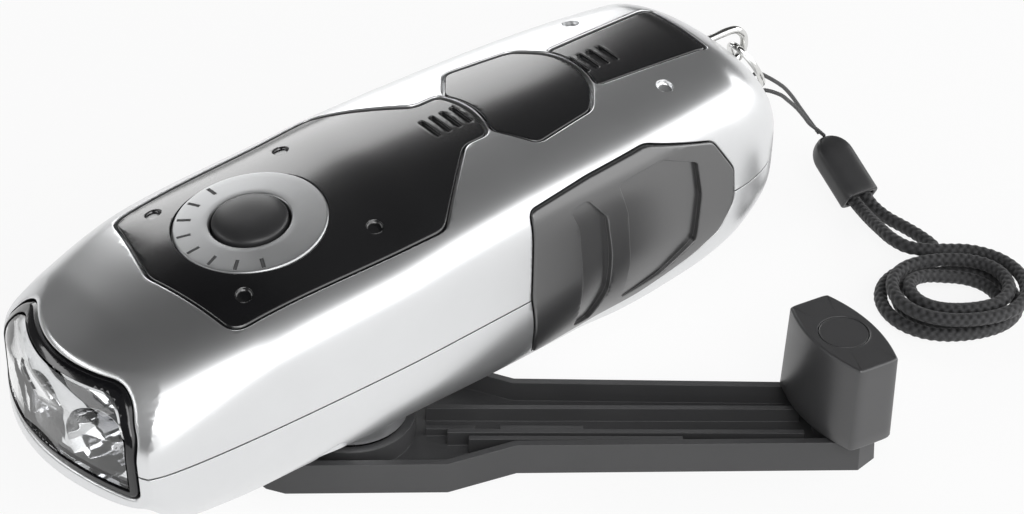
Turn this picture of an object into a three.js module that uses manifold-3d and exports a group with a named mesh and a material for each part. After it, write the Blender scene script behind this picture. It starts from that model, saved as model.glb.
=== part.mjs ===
// Wind-up pocket torch: a two-shell housing with a lens at the front, a push button on top,
// rubber side grips, a folding crank under the belly that drives a small generator through
// two pairs of gears, and a wrist cord on a ring at the tail.
// Millimetres. +X is the way the beam points, +Y is the torch's left, +Z is up.
// The origin is where the crank's axis meets the surface that the crank arm lies on.
import * as THREE from 'three';
import { mergeVertices } from 'three/addons/utils/BufferGeometryUtils.js';
import Module from 'manifold-3d';

const wasm = await Module();
wasm.setup();

// Sizes that everything shares
const clearance = 0.3;
const overrun = 4;
const upright = new THREE.Vector3(0, 0, 1);
// Most of an edge that a rounded corner takes, and the sharpest corner that an outline is moved out by
const cornerReachShare = 0.455;
const sharpestShare = 0.35;

// Housing
// The nose stands a lamp's room ahead of the battery, and the tail a length behind the nose
const housing = {
  batteryAhead: 28.6,
  lampRoom: 27.9,
  length: 139,
  halfWidth: 23.5,
  belly: 8.2,
  height: 48.4,
  crownDrop: 4.7,
  wall: 2.4,
  seam: 0.3,
  tailPlanRound: 20,
  tailTopRound: 17.5,
  tailBellyRound: 8,
  noseExtra: 1.5,
  cavityFront: 9.5,
};
const nose = housing.batteryAhead + housing.lampRoom;
const tail = nose - housing.length;
const tailPlanPowerShare = 2.4;
const tailTopPowerShare = 1.6;
const tailBellyPowerShare = 2;
const tailHeightShare = 0.595;
const seamFrontShare = 0.455;
const seamTailShare = 0.575;
const waistMarginShare = 0.3;
// Share of the length from the tail, share of the half width
const planShares = [[0, 0.83], [0.162, 0.872], [0.306, 0.928], [0.428, 0.953], [0.529, 0.979], [0.629, 1],
  [0.766, 0.996], [0.867, 0.974], [0.932, 0.936], [0.958, 0.885], [0.982, 0.795], [1.011, 0.7]];
// Share of the length from the tail, share of the height above the belly
const crownShares = [[0, 1], [0.27, 1], [0.45, 0.981], [0.558, 0.957], [0.622, 0.934], [0.788, 0.882],
  [0.903, 0.793], [0.95, 0.738], [1.011, 0.657]];
const bellyShares = [[0, 0.43], [0.061, 0.378], [0.09, 0.331], [0.119, 0.26], [0.176, 0.145], [0.27, 0.054],
  [0.342, 0.025], [0.45, 0.002], [0.594, 0], [0.737, 0], [0.831, -0.004], [0.881, 0.033], [0.917, 0.151],
  [0.939, 0.25], [0.953, 0.3], [0.982, 0.325], [1.011, 0.335]];
// Share of the length, power of the section's outline: 2 is an ellipse and more is squarer
const upperPowerShares = [[0, 3], [0.11, 5], [0.23, 7], [0.788, 7], [0.903, 4.2], [0.95, 3.2], [1.011, 3.2]];
const lowerPowerShares = [[0, 5], [0.09, 4.5], [0.176, 3], [0.27, 2.3], [0.342, 2], [0.831, 2], [0.881, 2.2],
  [0.917, 3], [0.939, 4.5], [0.953, 6], [1.011, 7]];
// Where the sections of the housing stand, and where the points of a section lie
const outerStationShares = [0.0015, 0.01, 0.027, 0.053, 0.09, 0.145, 0.23, 0.35, 0.5, 0.65, 0.77, 0.85, 0.89,
  0.92, 0.945, 0.97, 1];
const outerWidthShares = [1, 0.98, 0.92, 0.78, 0.46, 0];
const outerSteps = 10;
const innerStationShares = [0.002, 0.03, 0.08, 0.16, 0.28, 0.44, 0.62, 0.8, 0.92, 1];
const innerWidthShares = [1, 0.95, 0.8, 0.45, 0];
const innerSteps = 8;

// Curved front face: its bulge in plan and how its upper edge rakes back
const face = { bulgeRadius: 34, rakeDepth: 8, rakeBack: 6.4, edgeHeightShare: 0.7397, beyond: 2.5, above: 4 };
const faceStepsAcross = 8;
const faceHeightShares = [0, 0.5, 0.58, 0.64, 0.69, 0.75, 0.86];

// Left half of the lens opening: share of the half width, share of the height above the belly
const lensShares = [[0.5277, 0.7035], [0.6638, 0.6653], [0.8128, 0.5702], [0.8298, 0.3595],
  [0.383, 0.376]];
const lens = { cornerRadius: 1.8, openingBack: 18, frameWidth: 1.5, frameDepth: 3, thickness: 1.5,
  setback: 0.3 };
const reflector = { inset: 2.2, flangeInset: 0.35, back: 17.5, cupWall: 0.2, cupThroat: 2.9, cupPitchShare: 0.4936,
  cupHeightShare: 0.5 };
// Cup profile: share of the depth, share of the cup's radius
const cupShares = [[0.36, 0.72], [0.6, 0.92], [1, 1]];
const cupStepShare = 0.2;
const led = { radius: 2.4, flange: 2.7, flangeDepth: 1, length: 6.5, board: 1.2, boardHalfShare: 0.7234,
  boardBelow: 6, boardAbove: 7 };

// Button on top
const button = {
  alongShare: 0.722, sunk: 0.63, pitchDegrees: 7.6, radius: 6, dome: 1.3, skirt: 2.2, flange: 7.4, flangeDepth: 0.9,
  stem: 1.5, stemLength: 1.4, travel: 1.2, ringRadius: 12, ringThickness: 1.6, ringEdge: 0.3,
  well: 8.2, seatRadius: 13.6, seatDepth: 3.2, tickCount: 8, tickLength: 2.2, tickFirst: 272, tickSpan: 155,
};
const switchBox = { half: 3.2, height: 3.2, plungerRadius: 1.2, plungerHeight: 1 };
const circuit = { ahead: 13.14, behind: 26.86, postGap: 0.4, thickness: 1.4, chip: 5, chipHeight: 1.2, post: 1.5,
  postInset: 3, postAcross: 2.5 };

// Panels let into the top: left halves of their plan outlines, share of the length, share of the half width
const panel = { gap: 0.45, depth: 1.15, floor: 1.55, sunk: 0.25, cornerRadius: 1.4, dimple: 1.25,
  dimpleDepth: 0.5 };
const frontPanelShares = [[0.854, 0], [0.8259, 0.6851], [0.8137, 0.7362], [0.5619, 0.8], [0.5511, 0.7745],
  [0.4662, 0.2872], [0.4324, 0.2872], [0.4243, 0.1436], [0.4216, 0]];
const centrePanelShares = [[0.4158, 0], [0.4185, 0.134], [0.4266, 0.2681], [0.3928, 0.5319], [0.3058, 0.4596],
  [0.2791, 0.2681], [0.271, 0.134], [0.2683, 0]];
const rearPanelShares = [[0.2647, 0], [0.2669, 0.1383], [0.2734, 0.2766], [0.1079, 0.3277]];
const dimpleShares = [[0.7899, 0.5447], [0.6209, 0.5447]];
const slots = { count: 4, pitchShare: 0.0146, half: 2.65, width: 0.9, depth: 0.6, frontShare: 0.4791,
  rearShare: 0.2633 };
const tailDimple = { alongShare: 0.2036, acrossShare: 0.5149, radius: 1.35, depth: 0.8 };

// Rubber grips on the sides, seen from the side: share of the length, share of the height above the belly
const grip = { gap: 0.3, depth: 1.5, floor: 1.85, proud: 0.25, cornerRadius: 1.2, recess: 0.6 };
const gripShares = [[0.4194, 0.1983], [0.436, 0.312], [0.4525, 0.5227], [0.4532, 0.8533], [0.3662, 0.8822],
  [0.277, 0.8988], [0.177, 0.8099],
  [0.1388, 0.6612], [0.1331, 0.5269], [0.1547, 0.4215], [0.1928, 0.3636], [0.277, 0.2893], [0.3777, 0.2273]];
const frontFieldShares = [[0.3993, 0.8017], [0.3748, 0.8182], [0.3446, 0.719], [0.3345, 0.5702],
  [0.3324, 0.3926], [0.3475, 0.2686], [0.3705, 0.2686], [0.3719, 0.3409], [0.3784, 0.5475], [0.3863, 0.7231]];
const rearFieldShares = [[0.3273, 0.8223], [0.2597, 0.8368], [0.2029, 0.7645], [0.1906, 0.6136],
  [0.1935, 0.4339], [0.2453, 0.3512], [0.3036, 0.314], [0.3029, 0.4793], [0.3115, 0.6942]];

// Crank: s runs along the arm from the hub, w across it
const crank = {
  turnDegrees: 36.3, rimTop: 5.63, floorTop: 1.9, rimWidth: 1.7, draft: 0.4,
  hubBackX: -17.6, hubBackHalf: 8.6, hubCornerX: -13.4, hubCornerHalf: 13.2, hubX: -10.2, hubHalf: 14.4,
  hubEndX: 16.1, jogX: 27.4, jogHalf: 9.2, tipBeyond: 3.5, tipHalf: 8.3, endBeyond: 6.6, endHalf: 5.2,
  ringRadius: 10.8, ringWall: 1.6, socket: 4.4, socketWall: 2.4, ribWidth: 1,
};
// Ribs on the arm's floor: where they start and end along the arm, where they stand across it, how high
// they are
const rib = {
  nearHub: 12.4, besideHub: 16, pastHub: 19.5, shortEnd: 20.7, againFrom: 24.7, middleEnd: 38.6, outerEnd: 54.7,
  beforeKnob: 5.3, farSide: -6.5, farInner: -4.3, middle: -1.9, nearInner: 2, nearSide: 3.4, low: 3.4, medium: 4.6,
  tall: 5,
};

// Knob at the end of the arm
const knob = {
  reach: 80.3, axisDegrees: 82, halfLength: 9.98, halfWidth: 3.7, bulge: 2, bottom: 6.1, top: 22.4, flare: 0.4,
  edge: 0.8, capRadius: 4.1, capDepth: 1.6, bore: 2.3, spindle: 2, spindleHead: 3, spindleHeadDepth: 1.2,
  headRoom: 4.4, foot: 3.4, footTop: 4.2,
};
const knobSideSteps = 8;
const ribs = [
  [rib.pastHub, rib.outerEnd, rib.farSide, rib.tall],
  [rib.besideHub, knob.reach - rib.beforeKnob, rib.farInner, rib.medium],
  [rib.nearHub, rib.shortEnd, rib.middle, rib.low],
  [rib.againFrom, rib.middleEnd, rib.middle, rib.low],
  [rib.nearHub, knob.reach - rib.beforeKnob, rib.nearInner, rib.medium],
  [rib.nearHub, rib.outerEnd, rib.nearSide, rib.low],
];

// Gear train inside the housing: heights are above the belly
const gears = {
  module: 1, wheelCount: 26, pinionCount: 8, slack: 0.2, toothRoot: 1.7, toothTip: 0.7,
  addendum: 0.78, dedendum: 1.1, driveLow: 14.4, driveHigh: 17.2, idlerLow: 18.3, idlerHigh: 20.6,
  lowerPlateLow: 11.6, lowerPlateHigh: 13.2, upperPlateLow: 21.9, upperPlateHigh: 23.1,
  axle: 1, hub: 2.4,
};
const frame = {
  noseX: 18.4, noseHalf: 6, shoulderX: 10, shoulderHalf: 11, wideX: -4, wideHalf: 15.3, wideBackX: -14,
  tailX: -44, tailHalf: 9, endX: -47, endHalf: 5, pillar: 1.3, pillarX: -8.9, pillarInset: 1.3, rearPillarX: -44.8,
  frontPillarX: 16.3, legX: 12.5, legHalf: 5.5, legBackX: -38, leg: 1.6,
};
const shaft = {
  radius: 3.2, neck: 2.2, collar: 5, collarHeight: 1, bushWall: 1.8, bushGap: 0.15, socketFloor: 1.5,
  pinRadius: 0.8, pinHeight: 3.7, pinHalf: 6.4, bossWall: 2.4, bossFoot: 9.5, bossFootTop: 10,
};
const generator = {
  rotorRadius: 8, rotorLow: 24.6, rotorHigh: 31, statorInner: 9.2, coilInner: 10.6, outer: 14, low: 23.4,
  high: 32.6, lip: 1.2, poleCount: 8, shaftTop: 34,
};
const battery = { heightShare: 0.3512, radius: 7.6, cellCount: 3, cellLength: 8.6, gap: 0.3, cradle: 1.6,
  cradleAcross: 8 };
const screws = {
  frontX: 16, frontHalfShare: 0.7362, frontSeat: 13.2, rearBehind: 4.6, rearHalfShare: 0.4681, rearSeat: 7.05, headRadius: 2.5,
  headDepth: 1.6, shank: 1.2, wellRadius: 2.8, rise: 9, postRadius: 3.4, slotHalf: 0.5, slotLength: 3,
};

// Cord eye, ring and wrist cord
const eye = { wire: 0.7, hole: 1.05, upperShare: 0.8822, lowerShare: 0.7397, legIn: 9.1, lowLegIn: 5.5, legOut: 2.1,
  beyond: 0.5 };
const eyeBendShare = 0.3;
const link = { wire: 0.6, hangIn: 1.25, hangBelow: 0.15, footOut: 4.4, footBelow: 9.45, halfWidth: 3.2 };
const loopCord = 0.7;
// Thin doubled cord: from the lock up round the foot of the ring and back
const loopRoute = [[-116.2, -11.3, 10.4], [-115.3, -12.1, 12], [-111.7, -11, 16.3], [-108.2, -9.3, 20.2],
  [-102.6, -6.3, 26.3], [-97.6, -3.6, 31.3], [-93.4, -1.8, 35], [-90.2, -0.9, 37.6], [-88, -0.5, 39.2],
  [-86.5, -0.2, 39.7], [-85.4, 0, 38.9], [-85.3, 0.1, 37.6], [-86.2, 0.3, 36.7], [-88.6, 0.6, 36.1],
  [-92.8, 0.2, 33.5], [-97.6, -2, 29.2], [-102.8, -4.8, 24.3], [-108.4, -8, 18.6], [-112.4, -10.2, 14.4],
  [-115.6, -11, 11.4], [-117, -10.6, 9.9]];
// Lock sleeve: from its rounded end to its mouth
const lock = {
  width: 7.6, thickness: 5, mouthWidth: 6, mouthHeight: 3.2, mouthDepth: 5, domeLength: 4.5, headX: -116.5,
  headY: -10.5, headZ: 9.5, mouthX: -115.3, mouthY: 1.9, mouthZ: 3.1,
};
const lockDomeShares = [[0.42, 0], [0.7, 0.15], [0.9, 0.5], [1, 1]];
const lockSides = 16;
const cord = { diameter: 2.5, spacing: 3.05, low: 0.02 };
const leadRoutes = [
  [[-116.9, 0.27, 4], [-116.7, 2.04, 3.1], [-116.6, 4, 2.15], [-116.9, 7.5, 1.35], [-117.43, 12, 1.27],
    [-117.64, 15.96, 1.27], [-117.25, 19.52, 1.27], [-115.56, 22.19, 1.27], [-113.08, 22.76, 1.27],
    [-110.39, 22.28, 1.27], [-108.04, 21.73, 1.27]],
  [[-114.03, 0, 4], [-113.86, 1.8, 3.1], [-113.4, 4.2, 2.7], [-112.08, 7.82, 3.1], [-110.59, 12.08, 3.8],
    [-109.6, 16.15, 4.25], [-110.02, 19.61, 4.32], [-112.23, 22.27, 4.32], [-115.24, 24.64, 4.32],
    [-117.5, 26.34, 4.32]],
];
const hank = {
  x: -108.2, y: 33.4, turnDegrees: -26, innerLength: 7.6, innerHalf: 6.2, turnsPerLayer: 2, layers: 2,
};
const hankWaistShare = 0.15;
const hankSteps = 24;
const hankEndSteps = 2;
const hankSides = 6;

// Value of a table of shares at one place, joined by smooth curves
function follow(table, place) {
  const last = table.length - 1;
  if (place <= table[0][0]) return table[0][1];
  if (place >= table[last][0]) return table[last][1];
  const i = table.findIndex((entry, k) => k < last && place < table[k + 1][0]);
  const slope = (k) => {
    const before = table[Math.max(k - 1, 0)];
    const after = table[Math.min(k + 1, last)];
    return (after[1] - before[1]) / (after[0] - before[0]);
  };
  const span = table[i + 1][0] - table[i][0];
  const t = (place - table[i][0]) / span;
  const rise = table[i + 1][1] - table[i][1];
  const bend = t * t * (3 - 2 * t) * rise;
  return table[i][1] + bend + span * t * (1 - t) * ((1 - t) * slope(i) - t * slope(i + 1));
}

// A closed geometry becomes a solid: shared corners are merged, empty triangles dropped, faces turned out
function solidOf(geometry) {
  geometry.deleteAttribute('normal');
  geometry.deleteAttribute('uv');
  const merged = mergeVertices(geometry, clearance / 1000);
  const corners = merged.getAttribute('position');
  const kept = [];
  for (let i = 0; i < merged.index.count; i += 3) {
    const [a, b, c] = [merged.index.getX(i), merged.index.getX(i + 1), merged.index.getX(i + 2)];
    if (a !== b && b !== c && c !== a) kept.push(a, b, c);
  }
  const point = (i) => new THREE.Vector3().fromBufferAttribute(corners, i);
  let volume = 0;
  for (let i = 0; i < kept.length; i += 3) {
    volume += point(kept[i]).dot(point(kept[i + 1]).cross(point(kept[i + 2])));
  }
  if (volume < 0) kept.reverse();
  const vertProperties = new Float32Array(corners.array);
  return new wasm.Manifold(new wasm.Mesh({ numProp: 3, vertProperties, triVerts: new Uint32Array(kept) }));
}

function geometryOf(solid) {
  const mesh = solid.getMesh();
  const geometry = new THREE.BufferGeometry();
  geometry.setAttribute('position', new THREE.BufferAttribute(new Float32Array(mesh.vertProperties), 3));
  geometry.setIndex(new THREE.BufferAttribute(new Uint32Array(mesh.triVerts), 1));
  geometry.computeVertexNormals();
  return geometry;
}

function joined(first, ...others) {
  return others.reduce((sum, solid) => sum.add(solid), first);
}

function cutFrom(first, ...tools) {
  return tools.reduce((rest, tool) => rest.subtract(tool), first);
}

// Skin over a row of rings that all have as many points, closed by a fan at each end
function loft(rings) {
  const size = rings[0].length;
  const places = rings.flat(2);
  const middle = (ring) => [0, 1, 2].map((k) => ring.reduce((sum, p) => sum + p[k], 0) / size);
  places.push(...middle(rings[0]), ...middle(rings[rings.length - 1]));
  const index = [];
  for (let r = 0; r < rings.length - 1; r += 1) {
    for (let i = 0; i < size; i += 1) {
      const a = r * size + i;
      const b = r * size + ((i + 1) % size);
      index.push(a, b, b + size, a, b + size, a + size);
    }
  }
  const start = rings.length * size;
  for (let i = 0; i < size; i += 1) {
    const j = (i + 1) % size;
    index.push(start, j, i, start + 1, start - size + i, start - size + j);
  }
  const geometry = new THREE.BufferGeometry();
  geometry.setAttribute('position', new THREE.BufferAttribute(new Float32Array(places), 3));
  geometry.setIndex(index);
  return solidOf(geometry);
}

// Outline with each corner rounded, as a shape
function roundedShape(points, radius) {
  const corners = points.map(([x, y]) => new THREE.Vector2(x, y));
  const shape = new THREE.Shape();
  corners.forEach((corner, i) => {
    const before = corners[(i + corners.length - 1) % corners.length];
    const after = corners[(i + 1) % corners.length];
    const back = before.clone().sub(corner);
    const ahead = after.clone().sub(corner);
    const reachBack = Math.min(radius, back.length() * cornerReachShare);
    const reachAhead = Math.min(radius, ahead.length() * cornerReachShare);
    const enter = corner.clone().addScaledVector(back.normalize(), reachBack);
    const leave = corner.clone().addScaledVector(ahead.normalize(), reachAhead);
    if (i === 0) shape.moveTo(enter.x, enter.y);
    else shape.lineTo(enter.x, enter.y);
    shape.quadraticCurveTo(corner.x, corner.y, leave.x, leave.y);
  });
  shape.closePath();
  return shape;
}

// Outline moved outwards by one distance, its corners kept sharp
function grown(points, distance) {
  const area = points.reduce((sum, [x, y], i) => {
    const [nextX, nextY] = points[(i + 1) % points.length];
    return sum + x * nextY - nextX * y;
  }, 0);
  const side = area > 0 ? distance : -distance;
  const normal = ([x, y], [nextX, nextY]) => new THREE.Vector2(nextY - y, x - nextX).normalize();
  return points.map((point, i) => {
    const before = normal(points[(i + points.length - 1) % points.length], point);
    const after = normal(point, points[(i + 1) % points.length]);
    const mean = before.clone().add(after).normalize();
    mean.multiplyScalar(side / Math.max(mean.dot(after), sharpestShare));
    return [point[0] + mean.x, point[1] + mean.y];
  });
}

function extruded(shape, depth, curveSegments = 2) {
  return new THREE.ExtrudeGeometry(shape, { depth, bevelEnabled: false, curveSegments });
}

// Prisms of an outline along Z (outline in x, y), along Y (x, z) and along X (y, z)
function prismUp(points, low, high, radius = 0) {
  const plain = new THREE.Shape(points.map(([x, y]) => new THREE.Vector2(x, y)));
  const shape = radius > 0 ? roundedShape(points, radius) : plain;
  return solidOf(extruded(shape, high - low).translate(0, 0, low));
}

function prismAcross(points, low, high, radius) {
  const shape = roundedShape(points, radius);
  return solidOf(extruded(shape, high - low).rotateX(Math.PI / 2).translate(0, high, 0));
}

function prismForward(points, low, high, radius) {
  const shape = roundedShape(points, radius);
  const turn = new THREE.Matrix4().makeBasis(new THREE.Vector3(0, 1, 0), upright, new THREE.Vector3(1, 0, 0));
  return solidOf(extruded(shape, high - low).applyMatrix4(turn).translate(low, 0, 0));
}

function box(lowX, highX, lowY, highY, lowZ, highZ) {
  const geometry = new THREE.BoxGeometry(highX - lowX, highY - lowY, highZ - lowZ);
  return solidOf(geometry.translate((lowX + highX) / 2, (lowY + highY) / 2, (lowZ + highZ) / 2));
}

// Turned piece: profile of [radius, height] that starts and ends on the axis, standing on Z at x, y
function turned(profile, steps = 24, x = 0, y = 0) {
  const points = profile.map(([radius, height]) => new THREE.Vector2(radius, height));
  return solidOf(new THREE.LatheGeometry(points, steps).rotateX(Math.PI / 2).translate(x, y, 0));
}

function disc(radius, low, high, steps = 24, x = 0, y = 0) {
  return turned([[0, low], [radius, low], [radius, high], [0, high]], steps, x, y);
}

function pipe(inner, outer, low, high, steps = 24) {
  return turned([[inner, low], [outer, low], [outer, high], [inner, high], [inner, low]], steps);
}

// A solid taken to another place by a matrix
function carried(solid, matrix) {
  return solidOf(geometryOf(solid).applyMatrix4(matrix));
}

function mirrored(solid) {
  return carried(solid, new THREE.Matrix4().makeScale(1, -1, 1));
}

// A solid that stands on Z laid down to point along X from a place
function forward(solid, x, y, z) {
  const lying = new THREE.Matrix4().makeRotationY(Math.PI / 2);
  return carried(solid, new THREE.Matrix4().makeTranslation(x, y, z).multiply(lying));
}

function spun(solid, degrees) {
  return carried(solid, new THREE.Matrix4().makeRotationZ(THREE.MathUtils.degToRad(degrees)));
}

function tube(points, radius, sides, stepsPerPoint, closed = false) {
  const path = new THREE.CatmullRomCurve3(points.map((p) => new THREE.Vector3(...p)), closed, 'centripetal');
  const section = new THREE.Shape();
  for (let i = 0; i < sides; i += 1) {
    const angle = (2 * Math.PI * i) / sides;
    const place = [radius * Math.cos(angle), radius * Math.sin(angle)];
    if (i === 0) section.moveTo(...place);
    else section.lineTo(...place);
  }
  section.closePath();
  const steps = Math.round((points.length - (closed ? 0 : 1)) * stepsPerPoint);
  return solidOf(new THREE.ExtrudeGeometry(section, { steps, extrudePath: path, bevelEnabled: false }));
}

// Housing surface
const heightAt = (share) => housing.belly + housing.height * share;
const placeAt = (share) => tail + housing.length * share;
const tailHeight = heightAt(tailHeightShare);
const alongShare = (x) => (x - tail) / housing.length;

function rounding(x, inset, reach, power) {
  const share = Math.min((x - tail - inset) / (reach - inset), 1);
  return (1 - (1 - share) ** power) ** (1 / power);
}

function halfWidthAt(x, inset = 0) {
  const straight = housing.halfWidth * follow(planShares, alongShare(x)) - inset;
  return straight * rounding(x, inset, housing.tailPlanRound, tailPlanPowerShare);
}

function topAt(x, inset = 0) {
  const straight = housing.belly + housing.height * follow(crownShares, alongShare(x)) - inset;
  return tailHeight + (straight - tailHeight) * rounding(x, inset, housing.tailTopRound, tailTopPowerShare);
}

function bottomAt(x, inset = 0) {
  const straight = housing.belly + housing.height * follow(bellyShares, alongShare(x)) + inset;
  return tailHeight - (tailHeight - straight) * rounding(x, inset, housing.tailBellyRound,
    tailBellyPowerShare);
}

function seamAt(x) {
  return heightAt(seamTailShare + (seamFrontShare - seamTailShare) * alongShare(x));
}

function housingRing(x, inset, widthShares, steps) {
  const half = halfWidthAt(x, inset);
  const top = topAt(x, inset);
  const bottom = bottomAt(x, inset);
  const lowest = bottom + (top - bottom) * waistMarginShare;
  const waist = Math.min(Math.max(seamAt(x), lowest), bottom + top - lowest);
  const upper = follow(upperPowerShares, alongShare(x));
  const lower = follow(lowerPowerShares, alongShare(x));
  const ring = [];
  const widths = [...widthShares, ...widthShares.slice(0, -1).reverse().map((share) => -share)];
  widths.forEach((share) => {
    const y = half * share;
    const rise = top - housing.crownDrop * (y / housing.halfWidth) ** 2 - waist;
    ring.push([x, y, waist + rise * (1 - Math.abs(share) ** upper) ** (1 / upper)]);
  });
  for (let i = 1; i < steps; i += 1) {
    const angle = (Math.PI * i) / steps;
    const y = -Math.sign(Math.cos(angle)) * half * Math.abs(Math.cos(angle)) ** (2 / lower);
    ring.push([x, i * 2 === steps ? 0 : y, waist - (waist - bottom) * Math.sin(angle) ** (2 / lower)]);
  }
  return ring;
}

function housingForm(inset) {
  const start = tail + inset;
  const length = nose + housing.noseExtra - start;
  return loft(outerStationShares.map((share) => {
    return housingRing(start + length * share, inset, outerWidthShares, outerSteps);
  }));
}

// The same surface with few facets, for the cavity and the hidden floors
function hiddenForm(inset) {
  const start = tail + inset;
  const length = nose - housing.cavityFront - start;
  return loft(innerStationShares.map((share) => {
    return housingRing(start + length * share, inset, innerWidthShares, innerSteps);
  }));
}

// Places that follow the surface
const buttonX = placeAt(button.alongShare);
const buttonZ = topAt(buttonX) - button.sunk;
const batteryX = housing.batteryAhead;
const batteryZ = heightAt(battery.heightShare);
const wheelPitch = gears.module * gears.wheelCount / 2;
const pinionPitch = gears.module * gears.pinionCount / 2;
const centreDistance = wheelPitch + pinionPitch + gears.slack;
const idlerX = -centreDistance;
const rotorX = -2 * centreDistance;
const level = (height) => housing.belly + height;

// Everything behind the curved front face, moved back by a setback
function behindFace(setback) {
  const edge = housing.belly + housing.height * face.edgeHeightShare;
  const rings = [];
  for (let i = 0; i <= faceStepsAcross; i += 1) {
    const y = (housing.halfWidth + face.beyond) * (2 * i / faceStepsAcross - 1);
    const crown = edge - housing.crownDrop * (y / housing.halfWidth) ** 2;
    const ring = faceHeightShares.map((share) => {
      const z = (housing.belly + housing.height) * share + overrun * (share - 1) * 2;
      const near = Math.max(face.rakeDepth - Math.max(crown - z, -face.above), 0) / face.rakeDepth;
      return [nose - y * y / (2 * face.bulgeRadius) - face.rakeBack * near * near - setback, y, z];
    });
    const highest = housing.belly + housing.height + overrun;
    const back = tail - overrun;
    ring.push([ring[ring.length - 1][0], y, highest], [back, y, highest], [back, y, ring[0][2]]);
    rings.push(ring);
  }
  return loft(rings);
}

const outerForm = housingForm(0);
const innerForm = hiddenForm(housing.wall);
const cavityRoom = hiddenForm(housing.wall + clearance);
const faceForm = behindFace(0);

// Half-spaces above and below the seam, each half the seam's gap away from it
function seamSide(up) {
  const reach = housing.length;
  const [back, front] = [tail - reach, nose + reach];
  const gap = up ? housing.seam / 2 : -housing.seam / 2;
  const far = up ? reach : -reach;
  const outline = [[back, seamAt(back) + gap], [front, seamAt(front) + gap], [front, far], [back, far]];
  const shape = new THREE.Shape(outline.map(([x, z]) => new THREE.Vector2(x, z)));
  return solidOf(extruded(shape, 2 * reach).rotateX(Math.PI / 2).translate(0, reach, 0));
}

// Lens opening outline, both halves
function lensOutline(grow) {
  const left = lensShares.map(([across, up]) => [housing.halfWidth * across, heightAt(up)]);
  const right = left.map(([y, z]) => [-y, z]).reverse();
  return grown([...left, ...right], grow);
}

function lensPrism(grow, back = nose - lens.openingBack) {
  return prismForward(lensOutline(grow), back, nose + overrun, lens.cornerRadius);
}

// Panel outlines: left half mirrored to the right
function bothSides(left) {
  const right = left.map(([x, y]) => [x, -y]).reverse().filter(([, y]) => Math.abs(y) > 0);
  return [...left, ...right];
}

const onPlan = ([along, across]) => [placeAt(along), housing.halfWidth * across];
const planOutline = (shares) => bothSides(shares.map(onPlan));
const frontPanelOutline = planOutline(frontPanelShares);
const centrePanelOutline = planOutline(centrePanelShares);
const rearPanelOutline = planOutline(rearPanelShares);

function panelCutter(outline, grow) {
  return prismUp(grown(outline, grow), seamAt(0), housing.belly + housing.height + overrun,
    panel.cornerRadius);
}

function panelPlate(outline) {
  const band = cutFrom(housingForm(panel.sunk), hiddenForm(panel.sunk + panel.depth));
  return band.intersect(panelCutter(outline, -panel.gap / 2));
}

function panelPocket(outline) {
  return cutFrom(panelCutter(outline, panel.gap / 2), hiddenForm(panel.floor));
}

// The button's axis leans forward with the top
const buttonPlace = new THREE.Matrix4().makeTranslation(buttonX, 0, buttonZ)
  .multiply(new THREE.Matrix4().makeRotationY(THREE.MathUtils.degToRad(button.pitchDegrees)));

function atButton(solid) {
  return carried(solid, buttonPlace);
}

function gripPrism(outline, grow, left, radius = grip.cornerRadius) {
  const places = grown(outline.map(([along, up]) => [placeAt(along), heightAt(up)]), grow);
  const prism = prismAcross(places, overrun, housing.halfWidth + overrun, radius);
  return left ? prism : mirrored(prism);
}

function gripPocket(left) {
  return cutFrom(gripPrism(gripShares, grip.gap, left), hiddenForm(grip.floor));
}

function sideGrip(left) {
  const skin = cutFrom(housingForm(-grip.proud), hiddenForm(grip.depth));
  const pad = skin.intersect(gripPrism(gripShares, 0, left));
  const sunk = housingForm(grip.recess - grip.proud);
  const recess = (outline) => cutFrom(gripPrism(outline, 0, left), sunk);
  return [frontFieldShares, rearFieldShares].reduce((rest, outline) => cutFrom(rest, recess(outline)), pad);
}

function dimples() {
  return joined(...dimpleShares.flatMap(([along, across]) => [1, -1].map((side) => {
    const crown = topAt(placeAt(along)) - housing.crownDrop * across ** 2 - panel.sunk;
    const y = side * housing.halfWidth * across;
    return disc(panel.dimple, crown - panel.dimpleDepth, crown + overrun, 10, placeAt(along), y);
  })));
}

function gripSlots(firstShare) {
  const places = Array.from({ length: slots.count }, (_, i) => placeAt(firstShare - i * slots.pitchShare));
  return joined(...places.map((x) => {
    const top = topAt(x) - panel.sunk;
    const half = slots.width / 2;
    return box(x - half, x + half, -slots.half, slots.half, top - slots.depth, top + overrun);
  }));
}

function frontPanelPlate() {
  const hole = atButton(disc(button.ringRadius + clearance, -overrun, overrun, 40));
  return cutFrom(panelPlate(frontPanelOutline), hole, dimples(), gripSlots(slots.frontShare));
}

// Holes through the tail wall for the two legs of the cord eye
function eyeHoles() {
  const back = tail - overrun;
  const leg = (z, inX) => forward(disc(eye.hole, 0, inX + clearance - back, 10), back, 0, z);
  return joined(leg(heightAt(eye.upperShare), tail + eye.legIn),
    leg(heightAt(eye.lowerShare), tail + eye.lowLegIn));
}

// Where the screws stand and how high their heads are seated
const screwRearX = rotorX - generator.outer - screws.rearBehind;
const screwFrontHalf = housing.halfWidth * screws.frontHalfShare;
const screwRearHalf = housing.halfWidth * screws.rearHalfShare;
const screwPlaces = [[screws.frontX, screwFrontHalf, screws.frontSeat],
  [screwRearX, screwRearHalf, screws.rearSeat]]
  .flatMap(([x, y, rise]) => [[x, y, bottomAt(x) + rise], [x, -y, bottomAt(x) + rise]]);
const circuitHalf = screwFrontHalf - screws.postRadius - circuit.postGap;

function shell() {
  const hollow = joined(innerForm, lensPrism(0));
  return cutFrom(outerForm.intersect(faceForm), hollow);
}

const housingShell = shell();

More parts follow.
